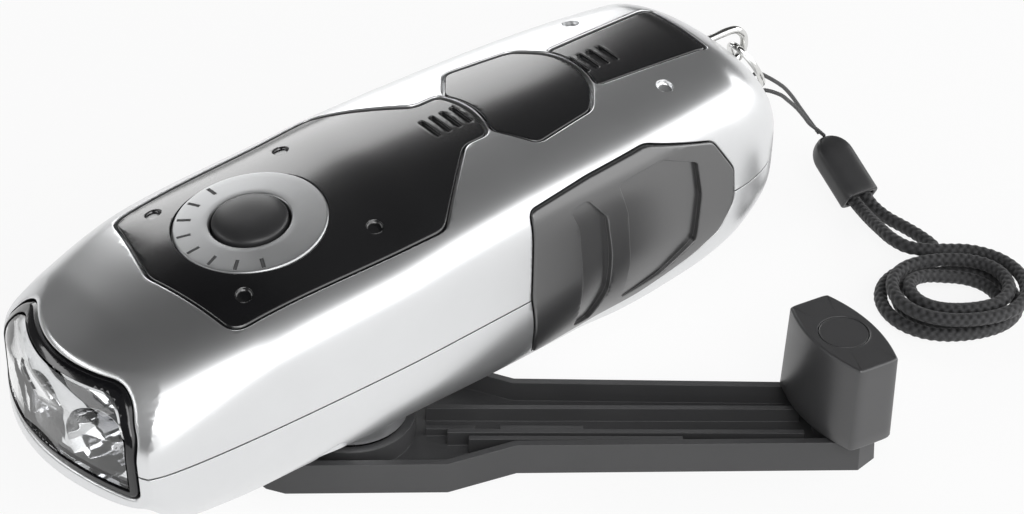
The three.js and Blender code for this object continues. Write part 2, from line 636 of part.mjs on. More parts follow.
function upperCasing() {
  const ceiling = housing.belly + housing.height;
  const posts = screwPlaces.map(([x, y]) => disc(screws.postRadius, seamAt(x), ceiling, 12, x, y));
  const postPlaces = [buttonX + circuit.ahead - circuit.postInset,
    buttonX - circuit.behind + circuit.postInset];
  const boardPosts = postPlaces.flatMap((x) => [1, -1].map((side) => {
    return disc(circuit.post, boardTop + clearance, ceiling, 8, x, side * (circuitHalf - circuit.postAcross));
  }));
  const seat = atButton(disc(button.seatRadius, -button.seatDepth, overrun, 32));
  const inside = joined(seat, ...posts, ...boardPosts).intersect(outerForm);
  const body = joined(housingShell, inside).intersect(seamSide(true));
  const bores = screwPlaces.map(([x, y]) => disc(screws.shank + clearance, 0, seamAt(x) + screws.rise, 10,
    x, y));
  const buttonWell = atButton(disc(button.well, -button.seatDepth - overrun, overrun, 28));
  const ringSeat = atButton(disc(button.ringRadius + clearance, -button.ringThickness - clearance, overrun,
    32));
  const dimpleX = placeAt(tailDimple.alongShare);
  const crown = topAt(dimpleX) - housing.crownDrop * tailDimple.acrossShare ** 2;
  const tailDimples = [1, -1].map((side) => {
    const y = side * housing.halfWidth * tailDimple.acrossShare;
    return disc(tailDimple.radius, crown - tailDimple.depth, crown + overrun, 10, dimpleX, y);
  });
  const pockets = [frontPanelOutline, centrePanelOutline, rearPanelOutline].map((outline) => {
    return panelPocket(outline);
  });
  return cutFrom(body, ...pockets, gripPocket(true), gripPocket(false), buttonWell, ringSeat, eyeHoles(),
    ...tailDimples, ...bores);
}

function batteryCradles() {
  const { radius, cradle, cradleAcross } = battery;
  const x = batteryX;
  const top = batteryZ - radius / 2;
  return [1, -1].map((side) => {
    const y = side * cradleAcross;
    return box(x - radius, x + radius, y - cradle / 2, y + cradle / 2, 0, top);
  });
}

function lowerCasing() {
  const { radius, bushWall, bossWall, bossFoot, bossFootTop } = shaft;
  const foot = crank.rimTop + clearance;
  const plateSeat = housing.belly + gears.lowerPlateLow - clearance;
  const neck = disc(radius + bushWall + clearance + bossWall, foot, plateSeat, 20);
  const boss = joined(neck, disc(bossFoot, foot, bossFootTop, 28));
  const posts = screwPlaces.map(([x, y]) => disc(screws.postRadius, 0, housing.belly + housing.height, 12,
    x, y));
  const legs = [frame.legX, frame.legBackX].flatMap((x) => [1, -1].map((side) => {
    return disc(frame.leg, 0, plateSeat, 8, x, side * frame.legHalf);
  }));
  const inside = joined(...posts, ...legs, ...batteryCradles()).intersect(outerForm);
  const body = joined(housingShell, inside, boss).intersect(seamSide(false));
  const batteryRoom = carried(disc(battery.radius + clearance, -housing.halfWidth, housing.halfWidth, 28),
    new THREE.Matrix4().makeTranslation(batteryX, 0, batteryZ)
      .multiply(new THREE.Matrix4().makeRotationX(Math.PI / 2)));
  const shaftBore = disc(radius + bushWall + clearance, 0, housing.belly + gears.driveLow, 24);
  const wells = screwPlaces.map(([x, y, seat]) => joined(disc(screws.wellRadius, 0, seat, 12, x, y),
    disc(screws.shank + clearance, 0, housing.belly + housing.height, 10, x, y)));
  return cutFrom(body, gripPocket(true), gripPocket(false), shaftBore, ...wells,
    batteryRoom.intersect(innerForm));
}

function casingScrew(x, y, seat) {
  const { headRadius, headDepth, shank, rise, slotHalf, slotLength } = screws;
  const low = seat - clearance - headDepth;
  const head = disc(headRadius, low, seat - clearance, 12, x, y);
  const stem = disc(shank, low, seamAt(x) + rise - clearance, 8, x, y);
  const slot = box(x - slotHalf, x + slotHalf, y - slotLength / 2, y + slotLength / 2, low - clearance,
    low + headDepth / 2);
  return cutFrom(joined(head, stem), slot);
}

// Lens group
function lensFrame() {
  const band = cutFrom(behindFace(0), behindFace(lens.frameDepth));
  return band.intersect(cutFrom(lensPrism(-clearance), lensPrism(-clearance - lens.frameWidth)));
}

function lensPane() {
  const band = cutFrom(behindFace(lens.setback), behindFace(lens.setback + lens.thickness));
  return band.intersect(lensPrism(-2 * clearance - lens.frameWidth));
}

const cupPitch = housing.halfWidth * reflector.cupPitchShare;
const cupRadius = (cupPitch - reflector.cupWall) / 2;
const cupPlaces = [-1, 0, 1].map((step) => step * cupPitch);
const reflectorBack = nose - reflector.back;
const cupZ = heightAt(reflector.cupHeightShare);

function reflectorBlock() {
  const front = lens.setback + lens.thickness + clearance;
  const behindFrame = lens.frameDepth + clearance;
  const block = joined(lensPrism(-reflector.inset, reflectorBack).intersect(behindFace(front)),
    lensPrism(-reflector.flangeInset, reflectorBack).intersect(behindFace(behindFrame)));
  const { back: depth, cupThroat } = reflector;
  const bowl = cupShares.map(([along, across]) => [cupRadius * across, depth * along]);
  const cup = turned([[0, -overrun], [cupThroat, -overrun], [cupThroat, depth * cupStepShare], ...bowl,
    [0, depth]], 12);
  return cutFrom(block, ...cupPlaces.map((y) => forward(cup, reflectorBack, y, cupZ)));
}

function lamp() {
  const { radius, flange, flangeDepth, length } = led;
  const dome = [0, 0.33, 0.67, 1].map((share) => {
    const angle = share * Math.PI / 2;
    return [share === 1 ? 0 : radius * Math.cos(angle), length - radius + radius * Math.sin(angle)];
  });
  return turned([[0, 0], [flange, 0], [flange, flangeDepth], [radius, flangeDepth], ...dome], 12);
}

function lampBoard() {
  const back = reflectorBack - clearance - led.board;
  const half = housing.halfWidth * led.boardHalfShare;
  const plate = box(back, back + led.board, -half, half, cupZ - led.boardBelow, cupZ + led.boardAbove);
  return plate.intersect(cavityRoom);
}

// Button group, upright about its own axis
function buttonRing() {
  const { ringRadius, ringThickness, ringEdge, radius, tickCount, tickLength, tickFirst, tickSpan } = button;
  const inner = radius + clearance;
  const ring = turned([[inner, -ringThickness], [ringRadius, -ringThickness], [ringRadius, -ringEdge],
    [ringRadius - ringEdge, 0], [inner + ringEdge, 0], [inner, -ringEdge], [inner, -ringThickness]], 32);
  const end = ringRadius - 2 * ringEdge;
  const tick = box(end - tickLength, end, -ringEdge, ringEdge, -ringEdge, overrun);
  const ticks = Array.from({ length: tickCount },
    (_, i) => spun(tick, tickFirst + i * tickSpan / (tickCount - 1)));
  return cutFrom(ring, ...ticks);
}

function powerButton() {
  const { radius, dome, skirt, flange, flangeDepth, stem, stemLength } = button;
  const crown = [0, 0.3, 0.65, 1].map((share) => {
    const angle = share * Math.PI / 2;
    return [share === 1 ? 0 : radius * Math.cos(angle), dome * Math.sin(angle)];
  });
  const foot = -skirt - flangeDepth;
  return turned([[0, foot - stemLength], [stem, foot - stemLength], [stem, foot], [flange, foot],
    [flange, -skirt], [radius, -skirt], ...crown], 22);
}

const switchRoom = button.travel + clearance + switchBox.height + switchBox.plungerHeight;
const boardTop = buttonZ - button.skirt - button.flangeDepth - button.stemLength - switchRoom;

function switchBody() {
  const { half, height, plungerRadius, plungerHeight } = switchBox;
  const can = box(buttonX - half, buttonX + half, -half, half, boardTop + clearance, boardTop + height);
  return joined(can, disc(plungerRadius, boardTop + height / 2, boardTop + height + plungerHeight, 12,
    buttonX));
}

function circuitBoard() {
  const top = boardTop;
  const plate = box(buttonX - circuit.behind, buttonX + circuit.ahead, -circuitHalf, circuitHalf,
    top - circuit.thickness, top);
  const chip = box(-circuit.chip / 2, circuit.chip / 2, -circuit.chip, circuit.chip, top - clearance,
    top + circuit.chipHeight);
  return joined(plate, chip);
}

// Gears
function toothedDisc(teeth, low, high, bore, turnTeeth) {
  const pitch = gears.module * teeth / 2;
  const [root, tip] = [pitch - gears.dedendum, pitch + gears.addendum];
  const shape = new THREE.Shape();
  for (let i = 0; i < teeth; i += 1) {
    const middle = (2 * Math.PI * (i + turnTeeth)) / teeth;
    const corners = [[root, -gears.toothRoot / 2], [tip, -gears.toothTip / 2], [tip, gears.toothTip / 2],
      [root, gears.toothRoot / 2]];
    corners.forEach(([radius, half], k) => {
      const angle = middle + half / radius;
      const place = [radius * Math.cos(angle), radius * Math.sin(angle)];
      if (i === 0 && k === 0) shape.moveTo(...place);
      else shape.lineTo(...place);
    });
  }
  shape.closePath();
  const hole = new THREE.Path();
  hole.absarc(0, 0, bore, 0, 2 * Math.PI, true);
  shape.holes.push(hole);
  return solidOf(extruded(shape, high - low, 8).translate(0, 0, low));
}

function driveGear() {
  return toothedDisc(gears.wheelCount, level(gears.driveLow), level(gears.driveHigh),
    shaft.radius + clearance, 0);
}

function idlerGear() {
  const bore = gears.axle + clearance;
  const pinion = toothedDisc(gears.pinionCount, level(gears.driveLow), level(gears.idlerLow) + clearance,
    bore, 0.5);
  const wheel = toothedDisc(gears.wheelCount, level(gears.idlerLow), level(gears.idlerHigh), bore, 0);
  const hub = pipe(bore, gears.hub, level(gears.lowerPlateHigh) + clearance,
    level(gears.upperPlateLow) - clearance, 20);
  return joined(pinion, wheel, hub);
}

function axlePin() {
  return disc(gears.axle, level(gears.lowerPlateLow), level(gears.upperPlateHigh), 14);
}

function rotorGear() {
  return toothedDisc(gears.pinionCount, level(gears.idlerLow), level(gears.idlerHigh),
    gears.axle + clearance, 0.5);
}

function rotorShaft() {
  return disc(gears.axle, level(gears.lowerPlateLow), level(generator.shaftTop), 14);
}

function rotorMagnet() {
  return pipe(gears.axle + clearance, generator.rotorRadius, level(generator.rotorLow),
    level(generator.rotorHigh), 22);
}

function statorCan() {
  const { statorInner, outer, low, high, lip, poleCount, coilInner } = generator;
  const wallProfile = [[statorInner, level(low)], [outer, level(low)], [outer, level(high)],
    [statorInner, level(high)],
    [statorInner, level(high) - lip], [outer - lip, level(high) - lip], [outer - lip, level(low) + lip],
    [statorInner, level(low) + lip], [statorInner, level(low)]];
  const can = turned(wallProfile, 24);
  const claws = Array.from({ length: poleCount }, (_, i) => {
    const up = i % 2 === 0;
    const [from, to] = up ? [low + lip / 2, high - 2 * lip] : [low + 2 * lip, high - lip / 2];
    return spun(box(statorInner, coilInner - clearance, -lip, lip, level(from), level(to)),
      i * 360 / poleCount);
  });
  return joined(can, ...claws);
}

function statorCoil() {
  const { coilInner, outer, low, high, lip } = generator;
  return pipe(coilInner, outer - lip - 2 * clearance, level(low) + lip + clearance,
    level(high) - lip - clearance, 24);
}

function frameOutline() {
  return bothSides([[frame.noseX, frame.noseHalf], [frame.shoulderX, frame.shoulderHalf],
    [frame.wideX, frame.wideHalf],
    [frame.wideBackX, frame.wideHalf], [frame.tailX, frame.tailHalf], [frame.endX, frame.endHalf]]);
}

const pillarHalf = frame.wideHalf - frame.pillarInset;
const pillarPlaces = [[frame.pillarX, pillarHalf], [frame.pillarX, -pillarHalf], [frame.rearPillarX, 0],
  [frame.frontPillarX, 0]];

function axleBores() {
  return joined(...[idlerX, rotorX].map((x) => disc(gears.axle + clearance, 0, level(generator.shaftTop),
    14, x)));
}

function lowerPlate() {
  const plate = prismUp(frameOutline(), level(gears.lowerPlateLow), level(gears.lowerPlateHigh),
    frame.pillar);
  const [low, high] = [level(gears.lowerPlateHigh) - clearance, level(gears.upperPlateLow) - clearance];
  const pillars = pillarPlaces.map(([x, y]) => disc(frame.pillar, low, high, 12, x, y));
  const shaftBore = disc(shaft.radius + shaft.bushWall + clearance, 0, level(gears.driveLow), 24);
  return cutFrom(joined(plate, ...pillars).intersect(cavityRoom), axleBores(), shaftBore);
}

function upperPlate() {
  const plate = prismUp(frameOutline(), level(gears.upperPlateLow), level(gears.upperPlateHigh),
    frame.pillar);
  return cutFrom(plate.intersect(cavityRoom), axleBores(),
    disc(shaft.neck + clearance, 0, level(generator.shaftTop), 20));
}

function crossPin(radius, half) {
  const bar = disc(radius, -half, half, 12);
  const lying = new THREE.Matrix4().makeRotationX(Math.PI / 2);
  return carried(bar, new THREE.Matrix4().makeTranslation(0, 0, shaft.pinHeight).multiply(lying));
}

function driveShaft() {
  const { radius, neck, collar, collarHeight } = shaft;
  const foot = shaft.socketFloor + clearance;
  const collarTop = level(gears.driveLow) - clearance;
  const [shoulder, top] = [level(gears.driveHigh) + clearance, level(gears.upperPlateHigh)];
  const body = turned([[0, foot], [radius, foot], [radius, collarTop - collarHeight],
    [collar, collarTop - collarHeight],
    [collar, collarTop], [radius, collarTop], [radius, shoulder], [neck, shoulder], [neck, top], [0,
      top]], 18);
  return cutFrom(body, crossPin(shaft.pinRadius + clearance / 2, collar));
}

function shaftBush() {
  const { radius, bushWall, bushGap } = shaft;
  const top = level(gears.driveLow) - 2 * clearance - shaft.collarHeight;
  return pipe(radius + bushGap, radius + bushWall, crank.rimTop + clearance, top, 24);
}

function batteryPack() {
  const { radius, cellCount, cellLength, gap } = battery;
  const half = cellCount * cellLength / 2;
  const profile = [[0, -half]];
  for (let i = 0; i < cellCount; i += 1) {
    const start = -half + i * cellLength;
    profile.push([radius - gap, start], [radius, start + gap], [radius, start + cellLength - gap]);
    if (i === cellCount - 1) profile.push([radius - gap, start + cellLength]);
  }
  profile.push([0, half]);
  return turned(profile, 20);
}

// Crank arm: an open tray with ribs, a ring round the hub and a foot for the knob's spindle
function armOutline(grow) {
  const left = [[crank.hubBackX, crank.hubBackHalf], [crank.hubCornerX, crank.hubCornerHalf],
    [crank.hubX, crank.hubHalf],
    [crank.hubEndX, crank.hubHalf - crank.draft], [crank.jogX, crank.jogHalf],
    [knob.reach + crank.tipBeyond, crank.tipHalf], [knob.reach + crank.endBeyond, crank.endHalf]];
  return grown(bothSides(left), grow);
}

function taperedPlate(low, high, lowGrow, highGrow) {
  return loft([armOutline(lowGrow).map(([x, y]) => [x, y, low]),
    armOutline(highGrow).map(([x, y]) => [x, y, high])]);
}

function crankArm() {
  const { rimTop, floorTop, rimWidth, draft, ribWidth, ringRadius, ringWall } = crank;
  const tray = cutFrom(taperedPlate(0, rimTop, 0, -draft),
    taperedPlate(floorTop, rimTop + overrun, -rimWidth, -rimWidth));
  const low = floorTop - clearance;
  const ribSolids = ribs.map(([from, to, across, height]) => box(from, to, across, across + ribWidth, low,
    height));
  const ring = pipe(ringRadius - ringWall, ringRadius, low, rimTop, 32);
  const socket = disc(crank.socket + crank.socketWall, low, rimTop - clearance, 20);
  const foot = disc(knob.foot, low, knob.footTop, 16, knob.reach);
  const shaftHole = disc(shaft.radius + clearance, shaft.socketFloor, rimTop + overrun, 16);
  const spindleHole = disc(knob.spindle + clearance, floorTop, rimTop + overrun, 14, knob.reach);
  const pinHole = crossPin(shaft.pinRadius + clearance, crank.socket + crank.socketWall + clearance);
  return cutFrom(joined(tray, ...ribSolids, ring, socket, foot), shaftHole, spindleHole, pinHole);
}

// Knob, about its own axis
function knobOutline(grow) {
  const { halfLength, halfWidth, bulge } = knob;
  const points = [];
  for (let i = 0; i <= knobSideSteps; i += 1) {
    const share = 1 - 2 * i / knobSideSteps;
    points.push([share * halfLength, halfWidth + bulge * (1 - share * share)]);
  }
  return grown([...points, ...points.map(([x, y]) => [-x, -y])], grow);
}

function knobBody() {
  const { flare, edge, bottom, top } = knob;
  const ring = (grow, z) => knobOutline(grow).map(([x, y]) => [x, y, z]);
  const block = loft([ring(flare - edge / 2, bottom), ring(flare, bottom + edge / 2), ring(0, top - edge),
    ring(-edge / 3, top - edge / 3), ring(-edge, top)]);
  const headFloor = top - knob.headRoom;
  const bore = disc(knob.bore, 0, top, 16);
  const headRoom = disc(knob.spindleHead + clearance, headFloor, top, 16);
  const capSeat = disc(knob.capRadius + clearance / 2, top - knob.capDepth - clearance, top + overrun, 24);
  return cutFrom(block, bore, headRoom, capSeat);
}

function knobCap() {
  return disc(knob.capRadius, knob.top - knob.capDepth, knob.top, 24);
}

function knobSpindle() {
  const { spindle, spindleHead, spindleHeadDepth } = knob;
  const headLow = knob.top - knob.headRoom + clearance;
  const foot = crank.floorTop + clearance;
  return turned([[0, foot], [spindle, foot], [spindle, headLow], [spindleHead, headLow],
    [spindleHead, headLow + spindleHeadDepth], [0, headLow + spindleHeadDepth]], 16);
}

// Cord eye: a staple of wire whose legs go into the tail
function cordEye() {
  const [upper, lower] = [heightAt(eye.upperShare), heightAt(eye.lowerShare)];
  const [outX, farX] = [tail + eye.legOut, tail - eye.beyond];
  const bend = (upper - lower) / 2 * eyeBendShare;
  const middle = (upper + lower) / 2;
  const between = (outX + 2 * farX) / 3;
  const points = [[tail + eye.legIn, 0, upper], [outX, 0, upper], [between, 0, upper - bend],
    [farX, 0, middle + bend],
    [farX, 0, middle - bend], [between, 0, lower + bend], [outX, 0, lower], [tail + eye.lowLegIn, 0, lower]];
  return tube(points, eye.wire, 8, 2);
}

// Oval ring that hangs from the eye and leans on the tail
function cordRing() {
  const steps = 20;
  const middle = heightAt((eye.upperShare + eye.lowerShare) / 2);
  const [topX, topZ] = [tail + link.hangIn, middle - link.hangBelow];
  const [footX, footZ] = [tail - link.footOut, middle - link.footBelow];
  const centre = [(topX + footX) / 2, 0, (topZ + footZ) / 2];
  const points = Array.from({ length: steps }, (_, i) => {
    const angle = (2 * Math.PI * i) / steps;
    const along = Math.cos(angle);
    return [centre[0] + (topX - footX) / 2 * along, link.halfWidth * Math.sin(angle),
      centre[2] + (topZ - footZ) / 2 * along];
  });
  return tube(points, link.wire, 8, 1, true);
}

function loopOfCord() {
  return tube(loopRoute, loopCord / 2, 8, 1.4);
}

// Sleeve that joins the thin loop to the braided cord
function cordLock() {
  const { width, thickness, mouthWidth, mouthHeight, mouthDepth, domeLength } = lock;
  const head = new THREE.Vector3(lock.headX, lock.headY, lock.headZ);
  const along = new THREE.Vector3(lock.mouthX, lock.mouthY, lock.mouthZ).sub(head);
  const length = along.length();
  along.normalize();
  const across = new THREE.Vector3().crossVectors(upright, along).normalize();
  const up = new THREE.Vector3().crossVectors(along, across);
  const place = new THREE.Matrix4().makeBasis(along, across, up).setPosition(head);
  const section = (wide, high, x) => Array.from({ length: lockSides }, (_, i) => {
    const angle = (2 * Math.PI * (i + 0.5)) / lockSides;
    const [c, s] = [Math.cos(angle), Math.sin(angle)];
    return [x, Math.sign(c) * wide / 2 * Math.abs(c) ** 0.5, Math.sign(s) * high / 2 * Math.abs(s) ** 0.5];
  });
  const dome = lockDomeShares.map(([share, reach]) => section(width * share, thickness * share,
    domeLength * reach));
  const mouth = [length - mouthDepth, length + overrun].map((x) => section(mouthWidth, mouthHeight, x));
  return carried(cutFrom(loft([...dome, section(width, thickness, length)]), loft(mouth)), place);
}

function cordLead(route) {
  return tube(route, cord.diameter / 2, 8, 1.4);
}

// Hank: loops that spiral in on the table, climb and spiral out on top, drawn in at the waist
function hankRoute() {
  const turns = hank.turnsPerLayer * hank.layers;
  const inner = (angle) => new THREE.Vector2(hank.innerLength * Math.cos(angle),
    hank.innerHalf * Math.sin(angle) * (1 - hankWaistShare * Math.sin(angle) ** 2));
  const step = Math.PI / hankSteps;
  const turn = THREE.MathUtils.degToRad(hank.turnDegrees);
  const low = cord.low + cord.diameter / 2;
  const points = [];
  for (let i = hankEndSteps; i <= turns * hankSteps - hankEndSteps; i += 1) {
    const turned = i / hankSteps;
    const angle = 2 * Math.PI * turned - Math.PI / 2;
    const away = Math.abs(turns / 2 - turned);
    const tangent = inner(angle + step).sub(inner(angle - step)).normalize();
    const place = inner(angle).addScaledVector(new THREE.Vector2(tangent.y, -tangent.x), cord.spacing * away);
    const climb = THREE.MathUtils.smoothstep(turned, turns / 2 - 0.25, turns / 2 + 0.25);
    points.push([hank.x + place.x * Math.cos(turn) - place.y * Math.sin(turn),
      hank.y + place.x * Math.sin(turn) + place.y * Math.cos(turn), low + climb * cord.spacing]);
  }
  return points;
}

// Least gap between two stretches of the hank that lie more than a quarter turn apart
function leastGap(points) {
  let least = Infinity;
  points.forEach((a, i) => {
    points.slice(i + hankSteps / 4).forEach((b) => {
      least = Math.min(least, Math.hypot(a[0] - b[0], a[1] - b[1], a[2] - b[2]));
    });
  });
  return least - cord.diameter;
}

function cordHank() {
  const points = hankRoute();
  console.log(`hank: least gap to itself ${leastGap(points).toFixed(2)} mm`);
  return tube(points, cord.diameter / 2, hankSides, 1);
}

// Finishes: colour, roughness, metalness
const finishes = {
  silver: [0xc4c6c9, 0.34, 0.75], gloss: [0x17181a, 0.12, 0], dark: [0x3a3b3d, 0.42, 0], rubber: [0x1f2022,
    0.7, 0],
  chrome: [0xe2e4e6, 0.08, 1], clear: [0xf4f7fa, 0.05, 0], steel: [0xa9adb2, 0.3, 1], nylon: [0xe8e4d8,
    0.5, 0],
  copper: [0xb06a35, 0.35, 0.9], board: [0x2c6b3f, 0.5, 0], cell: [0x3c7ab0, 0.4, 0], cord: [0x262729,
    0.85, 0],
};

// Groups that carry turned and tilted pieces
const torch = new THREE.Group();

function groupIn(parent, x, y, z) {
  const group = new THREE.Group();
  group.position.set(x, y, z);
  parent.add(group);
  return group;
}

const buttonGroup = groupIn(torch, buttonX, 0, buttonZ);
buttonGroup.rotation.y = THREE.MathUtils.degToRad(button.pitchDegrees);
const armGroup = groupIn(torch, 0, 0, 0);
armGroup.rotation.z = THREE.MathUtils.degToRad(180 - crank.turnDegrees);
const knobGroup = groupIn(armGroup, knob.reach, 0, 0);
knobGroup.rotation.z = THREE.MathUtils.degToRad(knob.axisDegrees - 180 + crank.turnDegrees);
const idlerGroup = groupIn(torch, idlerX, 0, 0);
const rotorGroup = groupIn(torch, rotorX, 0, 0);
const batteryGroup = groupIn(torch, batteryX, 0, batteryZ);
batteryGroup.rotation.x = Math.PI / 2;
const lampGroups = cupPlaces.map((y) => groupIn(torch, reflectorBack, y, cupZ));
lampGroups.forEach((group) => {
  group.rotation.y = Math.PI / 2;
});

function add(name, finish, solid, group = torch) {
  const [color, roughness, metalness] = finishes[finish];
  const material = new THREE.MeshStandardMaterial({ color, roughness, metalness });
  const mesh = new THREE.Mesh(geometryOf(solid), material);
  mesh.name = name;
  group.add(mesh);
}

add('upper_casing', 'silver', upperCasing());
add('lower_casing', 'silver', lowerCasing());
screwPlaces.forEach(([x, y, seat], i) => add(`casing_screw_${i + 1}`, 'steel', casingScrew(x, y, seat)));
add('front_panel', 'gloss', frontPanelPlate());
add('centre_panel', 'gloss', panelPlate(centrePanelOutline));
add('rear_panel', 'gloss', cutFrom(panelPlate(rearPanelOutline), gripSlots(slots.rearShare)));
add('grip_left', 'rubber', sideGrip(true));
add('grip_right', 'rubber', sideGrip(false));
add('lens_frame', 'dark', lensFrame());
add('lens', 'clear', lensPane());
add('reflector', 'chrome', reflectorBlock());
lampGroups.forEach((group, i) => add(`led_${i + 1}`, 'clear', lamp(), group));
add('led_board', 'board', lampBoard());
add('button_ring', 'silver', buttonRing(), buttonGroup);
add('power_button', 'rubber', powerButton(), buttonGroup);
add('switch_body', 'dark', switchBody());
add('circuit_board', 'board', circuitBoard());
add('battery_pack', 'cell', batteryPack(), batteryGroup);
add('gearbox_base', 'nylon', lowerPlate());
add('gearbox_cover', 'nylon', upperPlate());
add('shaft_bush', 'copper', shaftBush());
add('drive_shaft', 'steel', driveShaft(), armGroup);
add('drive_gear', 'nylon', driveGear());
add('idler_axle', 'steel', axlePin(), idlerGroup);
add('idler_gear', 'nylon', idlerGear(), idlerGroup);
add('rotor_shaft', 'steel', rotorShaft(), rotorGroup);
add('rotor_pinion', 'nylon', rotorGear(), rotorGroup);
add('rotor_magnet', 'dark', rotorMagnet(), rotorGroup);
add('stator_can', 'steel', statorCan(), rotorGroup);
add('stator_coil', 'copper', statorCoil(), rotorGroup);
add('crank_arm', 'dark', crankArm(), armGroup);
add('crank_pin', 'steel', crossPin(shaft.pinRadius, shaft.pinHalf), armGroup);
add('knob_spindle', 'steel', knobSpindle(), knobGroup);
add('knob', 'dark', knobBody(), knobGroup);
add('knob_cap', 'dark', knobCap(), knobGroup);
add('cord_eye', 'chrome', cordEye());
add('cord_ring', 'chrome', cordRing());
add('cord_loop', 'cord', loopOfCord());
add('cord_lock', 'dark', cordLock());
leadRoutes.forEach((route, i) => add(`cord_lead_${i + 1}`, 'cord', cordLead(route)));
add('cord_hank', 'cord', cordHank());

export default torch;
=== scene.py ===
import math

import bmesh
import bpy
import numpy as np
from mathutils import Matrix, Vector


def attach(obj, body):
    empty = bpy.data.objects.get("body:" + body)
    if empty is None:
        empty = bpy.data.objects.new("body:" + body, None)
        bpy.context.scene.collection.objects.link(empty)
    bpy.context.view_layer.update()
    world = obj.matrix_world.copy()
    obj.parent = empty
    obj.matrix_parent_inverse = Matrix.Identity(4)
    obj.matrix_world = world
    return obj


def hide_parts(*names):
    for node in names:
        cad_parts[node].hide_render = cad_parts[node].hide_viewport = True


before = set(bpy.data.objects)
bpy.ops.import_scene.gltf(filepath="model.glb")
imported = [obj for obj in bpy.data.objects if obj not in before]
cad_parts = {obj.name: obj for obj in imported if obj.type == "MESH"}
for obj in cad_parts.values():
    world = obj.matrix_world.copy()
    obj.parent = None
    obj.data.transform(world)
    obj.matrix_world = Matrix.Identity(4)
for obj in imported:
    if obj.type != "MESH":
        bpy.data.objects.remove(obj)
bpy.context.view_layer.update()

mm = 0.001
almostOne = 0.9999
meshSettings = {"weld": 0.0005, "carvedWeld": 0.002, "sliver": 0.001, "flatAngle": 1}
print("frame loaded:", len(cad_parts), "nodes")

# Camera: where the photographer stood, worked out from the torch's own edges; distances in mm
cameraSettings = {
    "azimuth": 141.18, "elevation": 35.69, "roll": 1.73, "across": -26.86, "upward": -30.01,
    "away": 431.13, "focalPixels": 2588.61, "pixelsWide": 1024, "sensorWidth": 36, "clipStart": 20,
}


def placeCamera(s):
    heading, tilt, roll = (math.radians(s[key]) for key in ("azimuth", "elevation", "roll"))
    level = math.cos(tilt)
    away = Vector((math.sin(heading) * level, -math.cos(heading) * level, math.sin(tilt)))
    right = Vector((math.cos(heading), math.sin(heading), 0))
    up = away.cross(right)
    across = right * math.cos(roll) + up * math.sin(roll)
    upward = up * math.cos(roll) - right * math.sin(roll)
    data = bpy.data.cameras.new("camera")
    data.sensor_width = s["sensorWidth"]
    data.lens = s["focalPixels"] / s["pixelsWide"] * s["sensorWidth"]
    data.clip_start = s["clipStart"] * mm
    camera = bpy.data.objects.new("camera", data)
    bpy.context.scene.collection.objects.link(camera)
    place = (away * s["away"] - across * s["across"] - upward * s["upward"]) * mm
    turn = Matrix((across, upward, away)).transposed()
    camera.matrix_world = Matrix.Translation(place) @ turn.to_4x4()
    bpy.context.scene.camera = camera


placeCamera(cameraSettings)
print("camera placed")


# Mesh helpers: everything is worked out in millimetres and scaled when it becomes an object
def objectFrom(bm, name, smoothAngle=35):
    bmesh.ops.scale(bm, vec=(mm, mm, mm), verts=bm.verts)
    bmesh.ops.recalc_face_normals(bm, faces=bm.faces)
    mesh = bpy.data.meshes.new(name)
    bm.to_mesh(mesh)
    bm.free()
    mesh.shade_smooth()
    mesh.set_sharp_from_angle(angle=math.radians(smoothAngle))
    piece = bpy.data.objects.new(name, mesh)
    bpy.context.scene.collection.objects.link(piece)
    return piece


# A grid wrapped round rings of points, its first and last ring filled in if capped
def wrappedGrid(rows, capped=True):
    rows = np.asarray(rows, float)
    rowCount, xSteps = rows.shape[:2]
    ySteps = rowCount - 1
    bm = bmesh.new()
    bm.loops.layers.uv.new("UVMap")
    bmesh.ops.create_grid(bm, x_segments=xSteps, y_segments=ySteps, size=0.5, calc_uvs=True)
    for vert in bm.verts:
        column = round((vert.co.x + 0.5) * xSteps)
        row = round((vert.co.y + 0.5) * ySteps)
        vert.co = rows[row, column % xSteps]
    bmesh.ops.remove_doubles(bm, verts=bm.verts, dist=meshSettings["weld"])
    if capped:
        edges = [edge for edge in bm.edges if edge.is_boundary]
        bmesh.ops.holes_fill(bm, edges=edges, sides=0)
    bmesh.ops.recalc_face_normals(bm, faces=bm.faces)
    return bm


# Cuts, keeps or joins with other objects, which are used up
def carve(piece, tools, operation="DIFFERENCE", solver="MANIFOLD"):
    for tool in tools:
        cut = piece.modifiers.new("cut", "BOOLEAN")
        cut.operation = operation
        cut.solver = solver
        cut.object = tool
        graph = bpy.context.evaluated_depsgraph_get()
        mesh = bpy.data.meshes.new_from_object(piece.evaluated_get(graph))
        piece.modifiers.clear()
        if len(mesh.polygons) == 0:
            print("carve: nothing left of", piece.name, "after", tool.name)
        old = piece.data
        piece.data = mesh
        bpy.data.meshes.remove(old)
    for tool in tools:
        bpy.data.objects.remove(tool)
    return piece


# Tidies a carved mesh and lets its large faces set the shading
def settle(piece, smoothAngle=38):
    bm = bmesh.new()
    bm.from_mesh(piece.data)
    bmesh.ops.remove_doubles(bm, verts=bm.verts, dist=meshSettings["carvedWeld"] * mm)
    bmesh.ops.dissolve_degenerate(bm, edges=bm.edges, dist=meshSettings["sliver"] * mm)
    bm.to_mesh(piece.data)
    bm.free()
    piece.data.shade_smooth()
    piece.data.set_sharp_from_angle(angle=math.radians(smoothAngle))
    normals = piece.modifiers.new("normals", "WEIGHTED_NORMAL")
    normals.keep_sharp = True
    normals.weight = 100


def duplicate(piece):
    copy = piece.copy()
    copy.data = piece.data.copy()
    bpy.context.scene.collection.objects.link(copy)
    return copy


